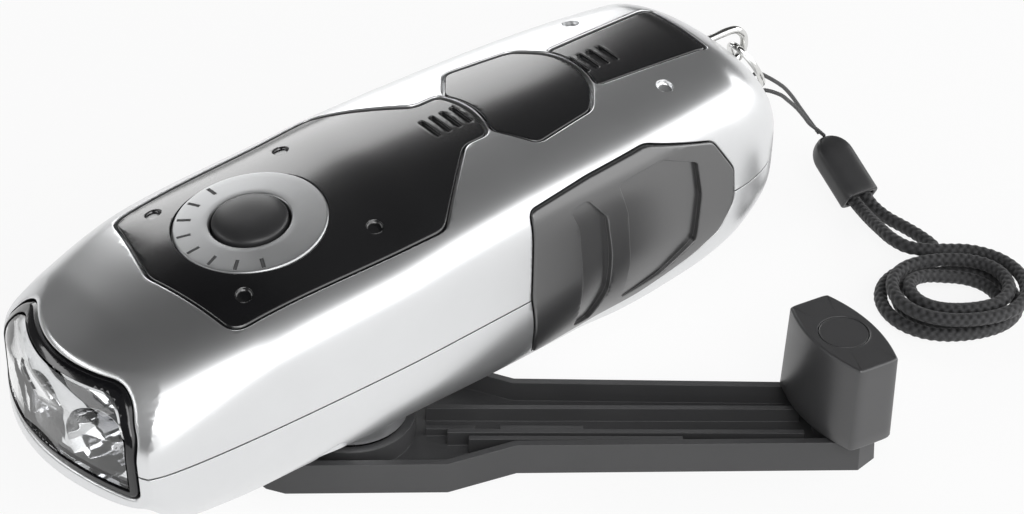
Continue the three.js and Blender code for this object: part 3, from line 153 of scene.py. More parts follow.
# Turned piece: a profile of (radius, height) spun about Z
def turnedPiece(name, profile, steps, place=Matrix.Identity(4)):
    bm = bmesh.new()
    verts = [bm.verts.new((radius, 0, height)) for radius, height in profile]
    edges = [bm.edges.new(pair) for pair in zip(verts, verts[1:])]
    bmesh.ops.spin(bm, geom=verts + edges, cent=(0, 0, 0), axis=(0, 0, 1), angle=2 * math.pi, steps=steps,
                   use_merge=True)
    bmesh.ops.remove_doubles(bm, verts=bm.verts, dist=meshSettings["weld"])
    bmesh.ops.transform(bm, matrix=place, verts=bm.verts)
    return objectFrom(bm, name)


def boxPiece(name, low, high, place=Matrix.Identity(4)):
    bm = bmesh.new()
    size = [b - a for a, b in zip(low, high)]
    middle = [(a + b) / 2 for a, b in zip(low, high)]
    bmesh.ops.create_cube(bm, size=1, matrix=Matrix.Translation(middle) @ Matrix.Diagonal((*size, 1)))
    bmesh.ops.transform(bm, matrix=place, verts=bm.verts)
    return objectFrom(bm, name)


# A CAD node's own shape with its edges softened
def softened(node, name, s):
    bm = bmesh.new()
    bm.from_mesh(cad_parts[node].data)
    bmesh.ops.remove_doubles(bm, verts=bm.verts, dist=meshSettings["sliver"] * mm)
    flat = math.radians(meshSettings["flatAngle"])
    bmesh.ops.dissolve_limit(bm, angle_limit=flat, verts=bm.verts, edges=bm.edges)
    bmesh.ops.scale(bm, vec=(1 / mm, 1 / mm, 1 / mm), verts=bm.verts)
    piece = objectFrom(bm, name)
    bevel = piece.modifiers.new("edges", "BEVEL")
    bevel.width = s["edge"] * mm
    bevel.segments = s["segments"]
    bevel.limit_method = "ANGLE"
    bevel.angle_limit = math.radians(s["fromAngle"])
    bevel.harden_normals = True
    return piece


def stepLengths(line):
    return np.linalg.norm(np.diff(line, axis=0), axis=1)


def distancesAlong(line):
    return np.concatenate([[0], np.cumsum(stepLengths(line))])


def lineLength(line):
    return float(stepLengths(line).sum())


# Smooth line through points, with a step of about that spacing
def smoothLine(points, spacing, between=12, fewest=4):
    points = np.asarray(points, float)
    points = np.vstack([2 * points[0] - points[1], points, 2 * points[-1] - points[-2]])
    line = []
    for p0, p1, p2, p3 in zip(points, points[1:], points[2:], points[3:]):
        t0 = 0
        t1 = t0 + np.linalg.norm(p1 - p0) ** 0.5
        t2 = t1 + np.linalg.norm(p2 - p1) ** 0.5
        t3 = t2 + np.linalg.norm(p3 - p2) ** 0.5
        for t in np.linspace(t1, t2, between, endpoint=False):
            a1 = (t1 - t) / (t1 - t0) * p0 + (t - t0) / (t1 - t0) * p1
            a2 = (t2 - t) / (t2 - t1) * p1 + (t - t1) / (t2 - t1) * p2
            a3 = (t3 - t) / (t3 - t2) * p2 + (t - t2) / (t3 - t2) * p3
            b1 = (t2 - t) / (t2 - t0) * a1 + (t - t0) / (t2 - t0) * a2
            b2 = (t3 - t) / (t3 - t1) * a2 + (t - t1) / (t3 - t1) * a3
            line.append((t2 - t) / (t2 - t1) * b1 + (t - t1) / (t2 - t1) * b2)
    line.append(points[-2])
    line = np.array(line)
    run = distancesAlong(line)
    count = max(int(run[-1] / spacing), fewest)
    at = np.linspace(0, run[-1], count + 1)
    return np.stack([np.interp(at, run, line[:, k]) for k in range(3)], axis=1)


# Rings of a tube along a line, carried along without twist: radius(distance, angles) shapes them
def tubeRows(line, sides, radius):
    nearlyUp = (0.05, 0.1, 1)  # along no line's start
    tangents = np.gradient(line, axis=0)
    tangents /= np.linalg.norm(tangents, axis=1)[:, None]
    side = np.cross(tangents[0], nearlyUp)
    side /= np.linalg.norm(side)
    angles = np.arange(sides) / sides * 2 * math.pi
    rows = []
    for point, tangent, distance in zip(line, tangents, distancesAlong(line)):
        side = side - tangent * (side @ tangent)
        side /= np.linalg.norm(side)
        up = np.cross(tangent, side)
        reach = radius(distance, angles)
        rows.append(point + (np.cos(angles) * reach)[:, None] * side
                    + (np.sin(angles) * reach)[:, None] * up)
    return rows


def plainRadius(radius):
    return lambda distance, angles: radius + 0 * angles


# Wrist cord: its line is the one the CAD solids follow
cordSettings = {
    "diameter": 2.5, "loopDiameter": 0.7, "spacing": 3.05, "low": 0.02, "sides": 32, "step": 0.22,
    "smoothAngle": 60,
    "strands": 4, "strandPitch": 1.45, "strandRise": 0.16, "strandRound": 0.7,
    "hankX": -108.2, "hankY": 33.4, "hankTurn": -26, "innerLength": 7.6, "innerHalf": 6.2,
    "waistShare": 0.15, "turns": 4, "steps": 24, "endSteps": 2, "climbTurns": 0.5,
    "firstLead": [(-116.9, 0.27, 4), (-116.7, 2.04, 3.1), (-116.6, 4, 2.15), (-116.9, 7.5, 1.35),
                  (-117.43, 12, 1.27), (-117.64, 15.96, 1.27), (-117.25, 19.52, 1.27),
                  (-115.56, 22.19, 1.27), (-113.08, 22.76, 1.27), (-110.39, 22.28, 1.27)],
    "secondLead": [(-114.03, 0, 4), (-113.86, 1.8, 3.1), (-113.4, 4.2, 2.7), (-112.08, 7.82, 3.1),
                   (-110.59, 12.08, 3.8), (-109.6, 16.15, 4.25), (-110.02, 19.61, 4.32),
                   (-112.23, 22.27, 4.32), (-115.24, 24.64, 4.32)],
}
loopSettings = {
    "step": 0.25, "sides": 12, "strands": 3, "twistRise": 0.035, "twistRate": 9,
    "points": [(-116.2, -11.3, 10.4), (-115.3, -12.1, 12), (-111.7, -11, 16.3), (-108.2, -9.3, 20.2),
               (-102.6, -6.3, 26.3), (-97.6, -3.6, 31.3), (-93.4, -1.8, 35), (-90.2, -0.9, 37.6),
               (-88, -0.5, 39.2), (-86.5, -0.2, 39.7), (-85.4, 0, 38.9), (-85.3, 0.1, 37.6),
               (-86.2, 0.3, 36.7), (-88.6, 0.6, 36.1), (-92.8, 0.2, 33.5), (-97.6, -2, 29.2),
               (-102.8, -4.8, 24.3), (-108.4, -8, 18.6), (-112.4, -10.2, 14.4), (-115.6, -11, 11.4),
               (-117, -10.6, 9.9)],
}


# Coil: two turns inwards on the floor, a climb of one cord, two turns outwards on top
def hankLine(s):
    def inner(angle):
        waist = 1 - s["waistShare"] * math.sin(angle) ** 2
        return np.array([s["innerLength"] * math.cos(angle), s["innerHalf"] * math.sin(angle) * waist])

    turn = math.radians(s["hankTurn"])
    low = s["low"] + s["diameter"] / 2
    points = []
    for i in range(s["endSteps"], s["turns"] * s["steps"] - s["endSteps"] + 1):
        turned = i / s["steps"]
        angle = 2 * math.pi * turned - math.pi / 2
        tangent = inner(angle + math.pi / s["steps"]) - inner(angle - math.pi / s["steps"])
        tangent /= np.linalg.norm(tangent)
        away = abs(s["turns"] / 2 - turned)
        x, y = inner(angle) + np.array([tangent[1], -tangent[0]]) * s["spacing"] * away
        t = min(max((turned - s["turns"] / 2 + s["climbTurns"] / 2) / s["climbTurns"], 0), 1)
        points.append((s["hankX"] + x * math.cos(turn) - y * math.sin(turn),
                       s["hankY"] + x * math.sin(turn) + y * math.cos(turn),
                       low + t * t * (3 - 2 * t) * s["spacing"]))
    return points


# Braid: two sets of strands cross, so rows of small bumps stand staggered round the cord
def braidRadius(s):
    half = s["diameter"] / 2

    def radius(distance, angles):
        around = np.cos(s["strands"] * angles)
        bumps = 0.5 + 0.5 * around * math.cos(2 * math.pi * distance / s["strandPitch"])
        return half - s["strandRise"] * (1 - bumps ** s["strandRound"])

    return radius


def braidedCord(s):
    line = smoothLine(s["firstLead"] + hankLine(s) + s["secondLead"][::-1], s["step"])
    bm = wrappedGrid(tubeRows(line, s["sides"], braidRadius(s)))
    piece = objectFrom(bm, "braidedCord", s["smoothAngle"])
    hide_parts("cord_lead_1", "cord_lead_2", "cord_hank")
    return piece, line


def thinLoop(s):
    line = smoothLine(s["points"], s["step"])
    half = cordSettings["loopDiameter"] / 2

    def radius(distance, angles):
        return half + s["twistRise"] * np.cos(s["strands"] * angles + s["twistRate"] * distance)

    bm = wrappedGrid(tubeRows(line, s["sides"], radius))
    piece = objectFrom(bm, "thinLoop", cordSettings["smoothAngle"])
    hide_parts("cord_loop")
    return piece, line


# Lock sleeve between the thin loop and the braid: flat-sided, domed at its head, open at its mouth
lockSettings = {
    "width": 7.6, "thickness": 5, "mouthWidth": 6, "mouthHeight": 3.2, "mouthDepth": 5,
    "head": (-116.5, -10.5, 9.5), "mouth": (-115.3, 1.9, 3.1), "sides": 56, "sideRound": 0.55,
    "domeLength": 4.5, "domeSteps": 11, "domeStart": 0.4, "domeThickness": 0.12,
    "bodyShares": (0.35, 0.6, 0.85), "lip": 0.3, "lipTurns": (0, 30, 60, 90), "smoothAngle": 50,
}


def lockSleeve(s):
    along = Vector(s["mouth"]) - Vector(s["head"])
    length = along.length
    along.normalize()
    across = Vector((0, 0, 1)).cross(along).normalized()
    up = along.cross(across)
    place = Matrix((along, across, up)).transposed()

    def section(x, wide, high):
        ring = []
        for i in range(s["sides"]):
            angle = 2 * math.pi * (i + 0.5) / s["sides"]
            cosine, sine = math.cos(angle), math.sin(angle)
            y = math.copysign(wide / 2 * abs(cosine) ** s["sideRound"], cosine)
            z = math.copysign(high / 2 * abs(sine) ** s["sideRound"], sine)
            ring.append(tuple(Vector(s["head"]) + place @ Vector((x, y, z))))
        return ring

    rows = []
    start, thin = s["domeStart"], s["domeThickness"]
    for i in range(s["domeSteps"]):  # domed head
        share = math.sin(math.pi / 2 * (i + start) / (s["domeSteps"] - 1 + start))
        reach = 1 - math.cos(math.asin(min(share, 1)))
        high = s["thickness"] * (thin + (1 - thin) * share)
        rows.append(section(s["domeLength"] * reach, s["width"] * share, high))
    for share in s["bodyShares"]:
        x = s["domeLength"] + (length - s["domeLength"]) * share
        rows.append(section(x, s["width"], s["thickness"]))
    lip = [(turn, s["width"], s["thickness"], -2) for turn in s["lipTurns"]]  # rounded, out and in
    lip += [(turn, s["mouthWidth"], s["mouthHeight"], 2) for turn in reversed(s["lipTurns"])]
    for turn, wide, high, way in lip:
        fall = s["lip"] * (1 - math.cos(math.radians(turn)))
        x = length - s["lip"] + s["lip"] * math.sin(math.radians(turn))
        rows.append(section(x, wide + way * fall, high + way * fall))
    rows.append(section(length - s["mouthDepth"], s["mouthWidth"], s["mouthHeight"]))
    piece = objectFrom(wrappedGrid(rows), "lockSleeve", s["smoothAngle"])
    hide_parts("cord_lock")
    return piece


braid, braidLine = braidedCord(cordSettings)
loopPiece, loopLine = thinLoop(loopSettings)
lockPiece = lockSleeve(lockSettings)
for piece in (braid, loopPiece, lockPiece):
    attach(piece, "housing")
print("cords made:", round(lineLength(braidLine)), "mm and", round(lineLength(loopLine)), "mm")


# Housing surface: tables of [share of the length from the tail, share of the size]
housing = {
    "tail": -82.5, "length": 139, "halfWidth": 23.5, "belly": 8.2, "height": 48.4, "crownDrop": 4.7,
    "wall": 2.4, "seam": 0.3, "tailPlanRound": 20, "tailTopRound": 17.5, "tailBellyRound": 8,
    "planPower": 2.4, "topPower": 1.6, "bellyPower": 2, "tailHeight": 0.595, "noseExtra": 1.5,
    "seamFront": 0.455, "seamTail": 0.575, "waistLow": 0.3, "waistHigh": 0.7,
    "plan": [[0, 0.83], [0.162, 0.872], [0.306, 0.928], [0.428, 0.953], [0.529, 0.979], [0.629, 1],
             [0.766, 0.996], [0.867, 0.974], [0.932, 0.936], [0.958, 0.885], [0.982, 0.795], [1.011, 0.7]],
    "crown": [[0, 1], [0.27, 1], [0.45, 0.981], [0.558, 0.957], [0.622, 0.934], [0.788, 0.882],
              [0.903, 0.793], [0.95, 0.738], [1.011, 0.657]],
    "bellyLine": [[0, 0.43], [0.061, 0.378], [0.09, 0.331], [0.119, 0.26], [0.176, 0.145], [0.27, 0.054],
                  [0.342, 0.025], [0.45, 0.002], [0.594, 0], [0.737, 0], [0.831, -0.004], [0.881, 0.033],
                  [0.917, 0.151], [0.939, 0.25], [0.953, 0.3], [0.982, 0.325], [1.011, 0.335]],
    "upperPower": [[0, 3], [0.11, 5], [0.23, 7], [0.788, 7], [0.903, 4.2], [0.95, 3.2], [1.011, 3.2]],
    "lowerPower": [[0, 5], [0.09, 4.5], [0.176, 3], [0.27, 2.3], [0.342, 2], [0.831, 2], [0.881, 2.2],
                   [0.917, 3], [0.939, 4.5], [0.953, 6], [1.011, 7]],
}
# Front face: bulges to the middle and leans back above its edge
face = {"bulgeRadius": 34, "rakeDepth": 8, "rakeBack": 6.4, "edge": 35.8, "rakeLimit": 1.5,
        "wide": 54, "tall": 70, "middle": 29, "across": 56, "up": 90, "far": -120}
# How finely the surface is drawn: steps along tail, body and nose, and points round half a section
fineness = {
    "tailRun": 22, "noseStart": 34, "firstShare": 0.002,
    "fine": {"steps": (36, 52, 26), "around": 76}, "coarse": {"steps": (16, 24, 10), "around": 30},
    "flatShare": 0.75, "flatPoints": 50, "shoulderPoints": 110, "lowerPoints": 160,
    "perHalfWidth": 23, "perRadian": 7, "halvings": 24,
}
noseX = housing["tail"] + housing["length"]


def follow(table, place):
    last = len(table) - 1
    if place <= table[0][0]:
        return table[0][1]
    if place >= table[last][0]:
        return table[last][1]
    i = next(k for k in range(last) if place < table[k + 1][0])

    def slope(k):
        before, after = table[max(k - 1, 0)], table[min(k + 1, last)]
        return (after[1] - before[1]) / (after[0] - before[0])

    span = table[i + 1][0] - table[i][0]
    t = (place - table[i][0]) / span
    rise = table[i + 1][1] - table[i][1]
    lean = (1 - t) * slope(i) - t * slope(i + 1)
    return table[i][1] + t * t * (3 - 2 * t) * rise + span * t * (1 - t) * lean


def rounding(x, inset, reach, power):
    share = min(max((x - housing["tail"] - inset) / (reach - inset), 0), 1)
    return (1 - (1 - share) ** power) ** (1 / power)


def seamAt(x):
    along = (x - housing["tail"]) / housing["length"]
    share = housing["seamTail"] + (housing["seamFront"] - housing["seamTail"]) * along
    return housing["belly"] + housing["height"] * share


# Half width, top, bottom, waist and the two powers of the section at x
def sectionAt(x, inset=0):
    along = (x - housing["tail"]) / housing["length"]
    tall, belly = housing["height"], housing["belly"]
    tailZ = belly + tall * housing["tailHeight"]
    half = housing["halfWidth"] * follow(housing["plan"], along) - inset
    half *= rounding(x, inset, housing["tailPlanRound"], housing["planPower"])
    top = belly + tall * follow(housing["crown"], along) - inset
    top = tailZ + (top - tailZ) * rounding(x, inset, housing["tailTopRound"], housing["topPower"])
    bottom = belly + tall * follow(housing["bellyLine"], along) + inset
    bottom = tailZ - (tailZ - bottom) * rounding(x, inset, housing["tailBellyRound"], housing["bellyPower"])
    lowest = bottom + (top - bottom) * housing["waistLow"]
    highest = bottom + (top - bottom) * housing["waistHigh"]
    waist = min(max(seamAt(x), lowest), highest)
    powers = follow(housing["upperPower"], along), follow(housing["lowerPower"], along)
    return half, top, bottom, waist, *powers


def topSurface(x, y, inset=0):
    half, top, bottom, waist, upper, lower = sectionAt(x, inset)
    share = min(abs(y) / half, almostOne)
    rise = top - housing["crownDrop"] * (y / housing["halfWidth"]) ** 2 - waist
    return waist + rise * (1 - share ** upper) ** (1 / upper)


def sideSurface(x, z, inset=0):
    half, top, bottom, waist, upper, lower = sectionAt(x, inset)
    if z <= waist:
        share = min((waist - z) / (waist - bottom), almostOne)
        return half * (1 - share ** lower) ** (1 / lower)
    near, far = 0.0, 1.0
    for step in range(fineness["halvings"]):
        middle = (near + far) / 2
        rise = top - housing["crownDrop"] * (half * middle / housing["halfWidth"]) ** 2 - waist
        if waist + rise * (1 - middle ** upper) ** (1 / upper) > z:
            near = middle
        else:
            far = middle
    return half * near


def faceSurface(y, z, setback=0):
    edge = housing["belly"] + face["edge"] - housing["crownDrop"] * (y / housing["halfWidth"]) ** 2
    near = min(max(face["rakeDepth"] - (edge - z), 0) / face["rakeDepth"], face["rakeLimit"])
    return noseX - y * y / (2 * face["bulgeRadius"]) - face["rakeBack"] * near * near - setback


# One section of the housing: points crowd where it turns most
def ringAt(x, inset, count):
    half, top, bottom, waist, upper, lower = sectionAt(x, inset)
    flat = fineness["flatShare"]
    shoulder = np.linspace(math.asin(flat ** (upper / 2)), math.pi / 2, fineness["shoulderPoints"])
    shares = np.concatenate([np.linspace(0, flat, fineness["flatPoints"], endpoint=False),
                             np.sin(shoulder) ** (2 / upper)])
    shares = np.minimum(shares, 1)
    y = half * shares
    rise = top - housing["crownDrop"] * (y / housing["halfWidth"]) ** 2 - waist
    z = waist + rise * np.maximum(1 - shares ** upper, 0) ** (1 / upper)
    angle = np.linspace(0, math.pi / 2, fineness["lowerPoints"])[1:]
    cosine = np.maximum(np.cos(angle), 0)
    cosine[-1] = 0
    y = np.concatenate([y, half * cosine ** (2 / lower)])
    z = np.concatenate([z, waist - (waist - bottom) * np.sin(angle) ** (2 / lower)])
    heading = np.unwrap(np.arctan2(np.diff(z), np.diff(y)))
    turning = np.concatenate([[0], np.abs(np.diff(heading)), [0]])
    stretch = np.concatenate([[0], np.hypot(np.diff(y), np.diff(z))])
    measure = np.cumsum(stretch / max(half, 1) * fineness["perHalfWidth"] + fineness["perRadian"] * turning)
    at = np.linspace(0, measure[-1], count + 1)
    y, z = np.interp(at, measure, y), np.interp(at, measure, z)
    left = [(x, a, b) for a, b in zip(y, z)]
    right = [(x, -a, b) for a, b in zip(y[-2:0:-1], z[-2:0:-1])]
    return left + right


# Solid within the housing's surface, moved in by an inset that may change along x
def housingSolid(name, inset=0, coarse=False):
    insetAt = inset if callable(inset) else (lambda x: inset)
    start = housing["tail"] + insetAt(housing["tail"])
    grid = fineness["coarse" if coarse else "fine"]
    tailSteps, bodySteps, noseSteps = grid["steps"]
    tailRun, noseStart, first = fineness["tailRun"], fineness["noseStart"], fineness["firstShare"]
    places = [start + tailRun * (first + (1 - first) * (i / tailSteps) ** 2) for i in range(tailSteps)]
    places += list(np.linspace(start + tailRun, noseStart, bodySteps, endpoint=False))
    places += list(np.linspace(noseStart, noseX + housing["noseExtra"], noseSteps))
    return objectFrom(wrappedGrid([ringAt(x, insetAt(x), grid["around"]) for x in places]), name)


def extrudedVerts(bm, faces):
    moved = bmesh.ops.extrude_face_region(bm, geom=faces)
    return [part for part in moved["geom"] if isinstance(part, bmesh.types.BMVert)]


# Everything behind the curved front face
def behindFace(name, setback=0):
    bm = bmesh.new()
    bmesh.ops.create_grid(bm, x_segments=face["across"], y_segments=face["up"], size=0.5)
    for vert in bm.verts:
        y = vert.co.x * face["wide"]
        z = face["middle"] + vert.co.y * face["tall"]
        vert.co = (faceSurface(y, z, setback), y, z)
    for vert in extrudedVerts(bm, bm.faces[:]):
        vert.co.x = face["far"]
    return objectFrom(bm, name)


# Closed outline with rounded corners and short steps; a corner takes less than half of each side
def roundedOutline(points, radius, step=1.0, cornerSteps=7, sideParts=2.2):
    points = [Vector(p) for p in points]
    corners = []
    for i, corner in enumerate(points):
        back = points[i - 1] - corner
        ahead = points[(i + 1) % len(points)] - corner
        enter = corner + back.normalized() * min(radius, back.length / sideParts)
        leave = corner + ahead.normalized() * min(radius, ahead.length / sideParts)
        for k in range(cornerSteps + 1):
            t = k / cornerSteps
            corners.append(enter * (1 - t) ** 2 + corner * 2 * t * (1 - t) + leave * t * t)
    outline = []
    for i, corner in enumerate(corners):
        following = corners[(i + 1) % len(corners)]
        pieces = max(math.ceil((following - corner).length / step), 1)
        outline += [corner.lerp(following, k / pieces) for k in range(pieces)]
    return np.array([tuple(p) for p in outline])


def outwards(outline):
    around = np.roll(outline, -1, axis=0) - np.roll(outline, 1, axis=0)
    normal = np.stack([around[:, 1], -around[:, 0]], axis=1)
    normal /= np.linalg.norm(normal, axis=1)[:, None]
    x, y = outline[:, 0], outline[:, 1]
    area = np.sum(x * np.roll(y, -1) - np.roll(x, -1) * y)
    return normal if area > 0 else -normal


# Closed tool that follows an outline: rings of (offset, depth), put in place by a surface
def outlineTool(name, outline, rings, place):
    normal = outwards(outline)
    rows = [[place(*(point + push * offset), depth) for point, push in zip(outline, normal)]
            for offset, depth in rings]
    return objectFrom(wrappedGrid(rows), name)


# Rings of a pocket, whose rounded lip opens outwards; a plate's edge closes inwards instead
def pocketRings(grow, lip, deep, high=5, way=1, steps=3):
    rings = [(grow, -deep)]
    for k in range(steps + 1):
        turn = math.pi / 2 * k / steps
        rings.append((grow + way * lip * (1 - math.cos(turn)), -lip + lip * math.sin(turn)))
    return rings + [(grow + way * lip, high)]


def plateRings(grow, edge, deep):
    return pocketRings(grow, edge, deep, way=-1)


def onTop(inset=0):
    return lambda x, y, depth: (x, y, topSurface(x, y, inset) + depth)


def onSide(side, inset=0):
    return lambda x, z, depth: (x, side * (sideSurface(x, z, inset) + depth), z)


def onFace(setback=0):
    return lambda y, z, depth: (faceSurface(y, z, setback) + depth, y, z)


def bothSides(left):
    return left + [(x, -y) for x, y in reversed(left) if abs(y) > 0]


# Plates let into the top, their outlines seen from above
plates = {
    "gap": 0.45, "depth": 1.15, "floor": 1.55, "sunk": 0.25, "corner": 1.4, "edge": 0.32, "lip": 0.28,
    "reach": 6,
    "front": bothSides([(36.2, 0), (32.3, 16.1), (30.6, 17.3), (-4.4, 18.8), (-5.9, 18.2), (-17.7, 6.75),
                        (-22.4, 6.75), (-23.525, 3.375), (-23.9, 0)]),
    "centre": bothSides([(-24.7, 0), (-24.325, 3.15), (-23.2, 6.3), (-27.9, 12.5), (-40, 10.8), (-43.7, 6.3),
                         (-44.825, 3.15), (-45.2, 0)]),
    "rear": bothSides([(-45.7, 0), (-45.4, 3.25), (-44.5, 6.5), (-67.5, 7.7)]),
    "slotCount": 4, "slotPitch": 2.03, "slotHalf": 2.65, "slotWidth": 0.9, "slotDepth": 0.6, "slotLip": 0.18,
    "slotCorner": 0.95, "slotStep": 0.5, "slotHigh": 3, "slotFronts": {"front": -15.9, "rear": -45.9},
    "dimples": [(27.3, 12.8), (27.3, -12.8), (3.8, 12.8), (3.8, -12.8)], "dimpleRadius": 1.25,
    "dimpleDepth": 0.5, "tailDimple": (-54.2, 12.1), "tailDimpleRadius": 1.35, "tailDimpleDepth": 0.8,
}
buttonSettings = {
    "x": 17.86, "z": 51.47, "pitch": 7.6, "radius": 6, "gap": 0.3, "slack": 0.08, "dome": 1.3,
    "domeSteps": 16, "domeRound": 0.8, "skirt": 2.2, "flange": 7.4, "flangeDepth": 0.9, "stem": 1.5,
    "stemLength": 1.4, "ringRadius": 12, "ringThickness": 1.6, "ringEdge": 0.35, "ringCrown": 0.5,
    "crownDepth": 1,
    "tickCount": 8, "tickLength": 2.2, "tickFirst": 272, "tickSpan": 155, "tickHalf": 0.3, "tickDepth": 0.3,
    "tickInset": 0.6, "markGap": 0.03, "markDepth": 0.1, "markSunk": 0.06, "tickHigh": 2,
    "well": 8.2, "wellDepth": 9, "wellTop": 4, "seatRadius": 13.6, "seatDepth": 3.2, "seatTop": 1.7,
    "cutGrow": 0.12, "cutLip": 0.15, "cutReach": 6, "cutSunk": 0.25,
}
buttonPlace = (Matrix.Translation((buttonSettings["x"], 0, buttonSettings["z"]))
               @ Matrix.Rotation(math.radians(buttonSettings["pitch"]), 4, "Y"))


def circleOutline(x, y, radius, count=28):
    angles = np.arange(count) / count * 2 * math.pi
    return np.stack([x + radius * np.cos(angles), y + radius * np.sin(angles)], axis=1)


# Small round hollow: flat floor, steep wall by shares of its depth, softly rounded lip
dimpleSettings = {
    "floorShare": 0.75, "wall": ((0.35, 1), (0.12, 0.85), (0, 0.5)), "lip": ((0.02, 0.2), (0.07, 0.06)),
    "lipWidth": 0.2, "high": 3,
}


def dimpleTool(x, y, radius, depth, inset, s=dimpleSettings):
    rings = [(-radius * s["floorShare"], -depth)]
    rings += [(-inwards, -depth * share) for inwards, share in s["wall"]]
    rings += [(beyond, -below) for beyond, below in s["lip"]]
    rings += [(s["lipWidth"], 0), (s["lipWidth"], s["high"])]
    return outlineTool("dimple", circleOutline(x, y, radius), rings, onTop(inset))


def slotTools(firstX, inset):
    half, reach = plates["slotWidth"] / 2, plates["slotHalf"]
    rings = pocketRings(0, plates["slotLip"], plates["slotDepth"], plates["slotHigh"])
    tools = []
    for i in range(plates["slotCount"]):
        x = firstX - i * plates["slotPitch"]
        corners = [(x - half, -reach), (x + half, -reach), (x + half, reach), (x - half, reach)]
        outline = roundedOutline(corners, half * plates["slotCorner"], plates["slotStep"], cornerSteps=4)
        tools.append(outlineTool("slot", outline, rings, onTop(inset)))
    return tools


# Round hole for the ring in the front plate, with a softened lip
def ringSeatTool(s):
    radius, lip, reach, sunk = s["ringRadius"] + s["cutGrow"], s["cutLip"], s["cutReach"], s["cutSunk"]
    profile = [(0, -reach), (radius, -reach), (radius, -lip - sunk), (radius + lip * 0.3, -lip * 0.3 - sunk),
               (radius + lip, -sunk), (radius + lip, reach), (0, reach)]
    return turnedPiece("ringSeat", profile, steps=96, place=buttonPlace)


def plate(key, name, node):
    outline = roundedOutline(plates[key], plates["corner"])
    piece = housingSolid(name, plates["sunk"])
    rings = plateRings(-plates["gap"] / 2, plates["edge"], plates["reach"])
    carve(piece, [outlineTool("keep", outline, rings, onTop(plates["sunk"]))], "INTERSECT")
    tools = [housingSolid("under", plates["sunk"] + plates["depth"], coarse=True)]
    if key in plates["slotFronts"]:
        tools += slotTools(plates["slotFronts"][key], plates["sunk"])
    if key == "front":
        tools += [dimpleTool(x, y, plates["dimpleRadius"], plates["dimpleDepth"], plates["sunk"])
                  for x, y in plates["dimples"]]
        tools.append(ringSeatTool(buttonSettings))
    carve(piece, tools)
    settle(piece)
    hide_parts(node)
    return piece


frontPlate = plate("front", "frontPlate", "front_panel")
centrePlate = plate("centre", "centrePlate", "centre_panel")
rearPlate = plate("rear", "rearPlate", "rear_panel")
print("plates made")

# Rubber grips: outlines seen from the side, heights above the table
grips = {
    "gap": 0.22, "depth": 1.5, "floor": 1.85, "proud": 0.25, "corner": 1.2, "edge": 0.3, "lip": 0.25,
    "reach": 7, "edgeDepth": 3, "fieldCorner": 0.9, "fieldLip": 0.16,
    "outline": [(-24.2, 17.8), (-21.9, 23.3), (-19.6, 33.5), (-19.5, 49.5), (-31.6, 50.9), (-44, 51.7),
                (-57.9, 47.4), (-63.2, 40.2), (-64, 33.7), (-61, 28.6), (-55.7, 25.8), (-44, 22.2),
                (-30, 19.2)],
    "fields": [
        {"front": -27.5, "rear": -36.5, "outline": [(-27, 47), (-30.4, 47.8), (-34.6, 43), (-36, 35.8),
         (-36.3, 27.2), (-34.2, 21.2), (-31, 21.2), (-30.8, 24.7), (-29.9, 34.7), (-28.8, 43.2)]},
        {"front": -38, "rear": -56, "outline": [(-37, 48), (-46.4, 48.7), (-54.3, 45.2), (-56, 37.9),
         (-55.6, 29.2), (-48.4, 25.2), (-40.3, 23.4), (-40.4, 31.4), (-39.2, 41.8)]},
    ],
    "shallow": 0.12, "deep": 0.95,
}


# Rubber pad whose two fields sink deeper towards the tail
def gripPad(side, name, node):
    piece = housingSolid(name, -grips["proud"])
    outline = roundedOutline(grips["outline"], grips["corner"])
    rings = plateRings(0, grips["edge"], grips["reach"])
    carve(piece, [outlineTool("keep", outline, rings, onSide(side, -grips["proud"]))], "INTERSECT")
    tools = [housingSolid("under", grips["depth"], coarse=True)]
    for field in grips["fields"]:
        def floorAt(x, field=field):
            share = (field["front"] - x) / (field["front"] - field["rear"])
            depth = grips["shallow"] + (grips["deep"] - grips["shallow"]) * min(max(share, 0), 1)
            return depth - grips["proud"]

        fieldOutline = roundedOutline(field["outline"], grips["fieldCorner"])
        fieldRings = pocketRings(0, grips["fieldLip"], grips["edgeDepth"])
        tool = outlineTool("field", fieldOutline, fieldRings, onSide(side, -grips["proud"]))
        tools.append(carve(tool, [housingSolid("fieldFloor", floorAt)]))
    carve(piece, tools)
    settle(piece)
    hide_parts(node)
    return piece


leftGrip = gripPad(1, "leftGrip", "grip_left")
rightGrip = gripPad(-1, "rightGrip", "grip_right")
print("grips made")

# Lens group: outline of the opening seen from the front, left half
lensSettings = {
    "half": [(12.4, 42.25), (15.6, 40.4), (19.1, 35.8), (19.5, 25.6), (9, 26.4)], "corner": 1.8, "gap": 0.3,
    "frameWidth": 1, "frameDepth": 3, "frameEdge": 0.35, "frameSunk": 0.05, "frameLip": 0.3,
    "frameReach": 9, "thickness": 1.5, "setback": 0.3, "lip": 0.7, "paneReach": 3, "ahead": 4,
    "inset": 2.2, "flangeInset": 0.35, "back": 17.5, "reflectorReach": 22, "behind": -20,
    "cupRadius": 5.7, "cupThroat": 2.9, "cupPitch": 11.6, "cupZ": 32.4, "throatLow": -3, "throatTop": 1.5,
    "cupLength": 13, "cupSteps": 16, "rimGrow": 0.15, "rimTop": 22, "lampSteps": 10,
    "ledRadius": 2.4, "ledFlange": 2.7, "ledFlangeDepth": 1, "ledFlangeEdge": 0.1, "ledLength": 6.5,
}
lampSides = (-1, 0, 1)


def lensOutline():
    left = lensSettings["half"]
    right = [(-y, z) for y, z in reversed(left)]
    return roundedOutline(left + right, lensSettings["corner"], cornerSteps=8)


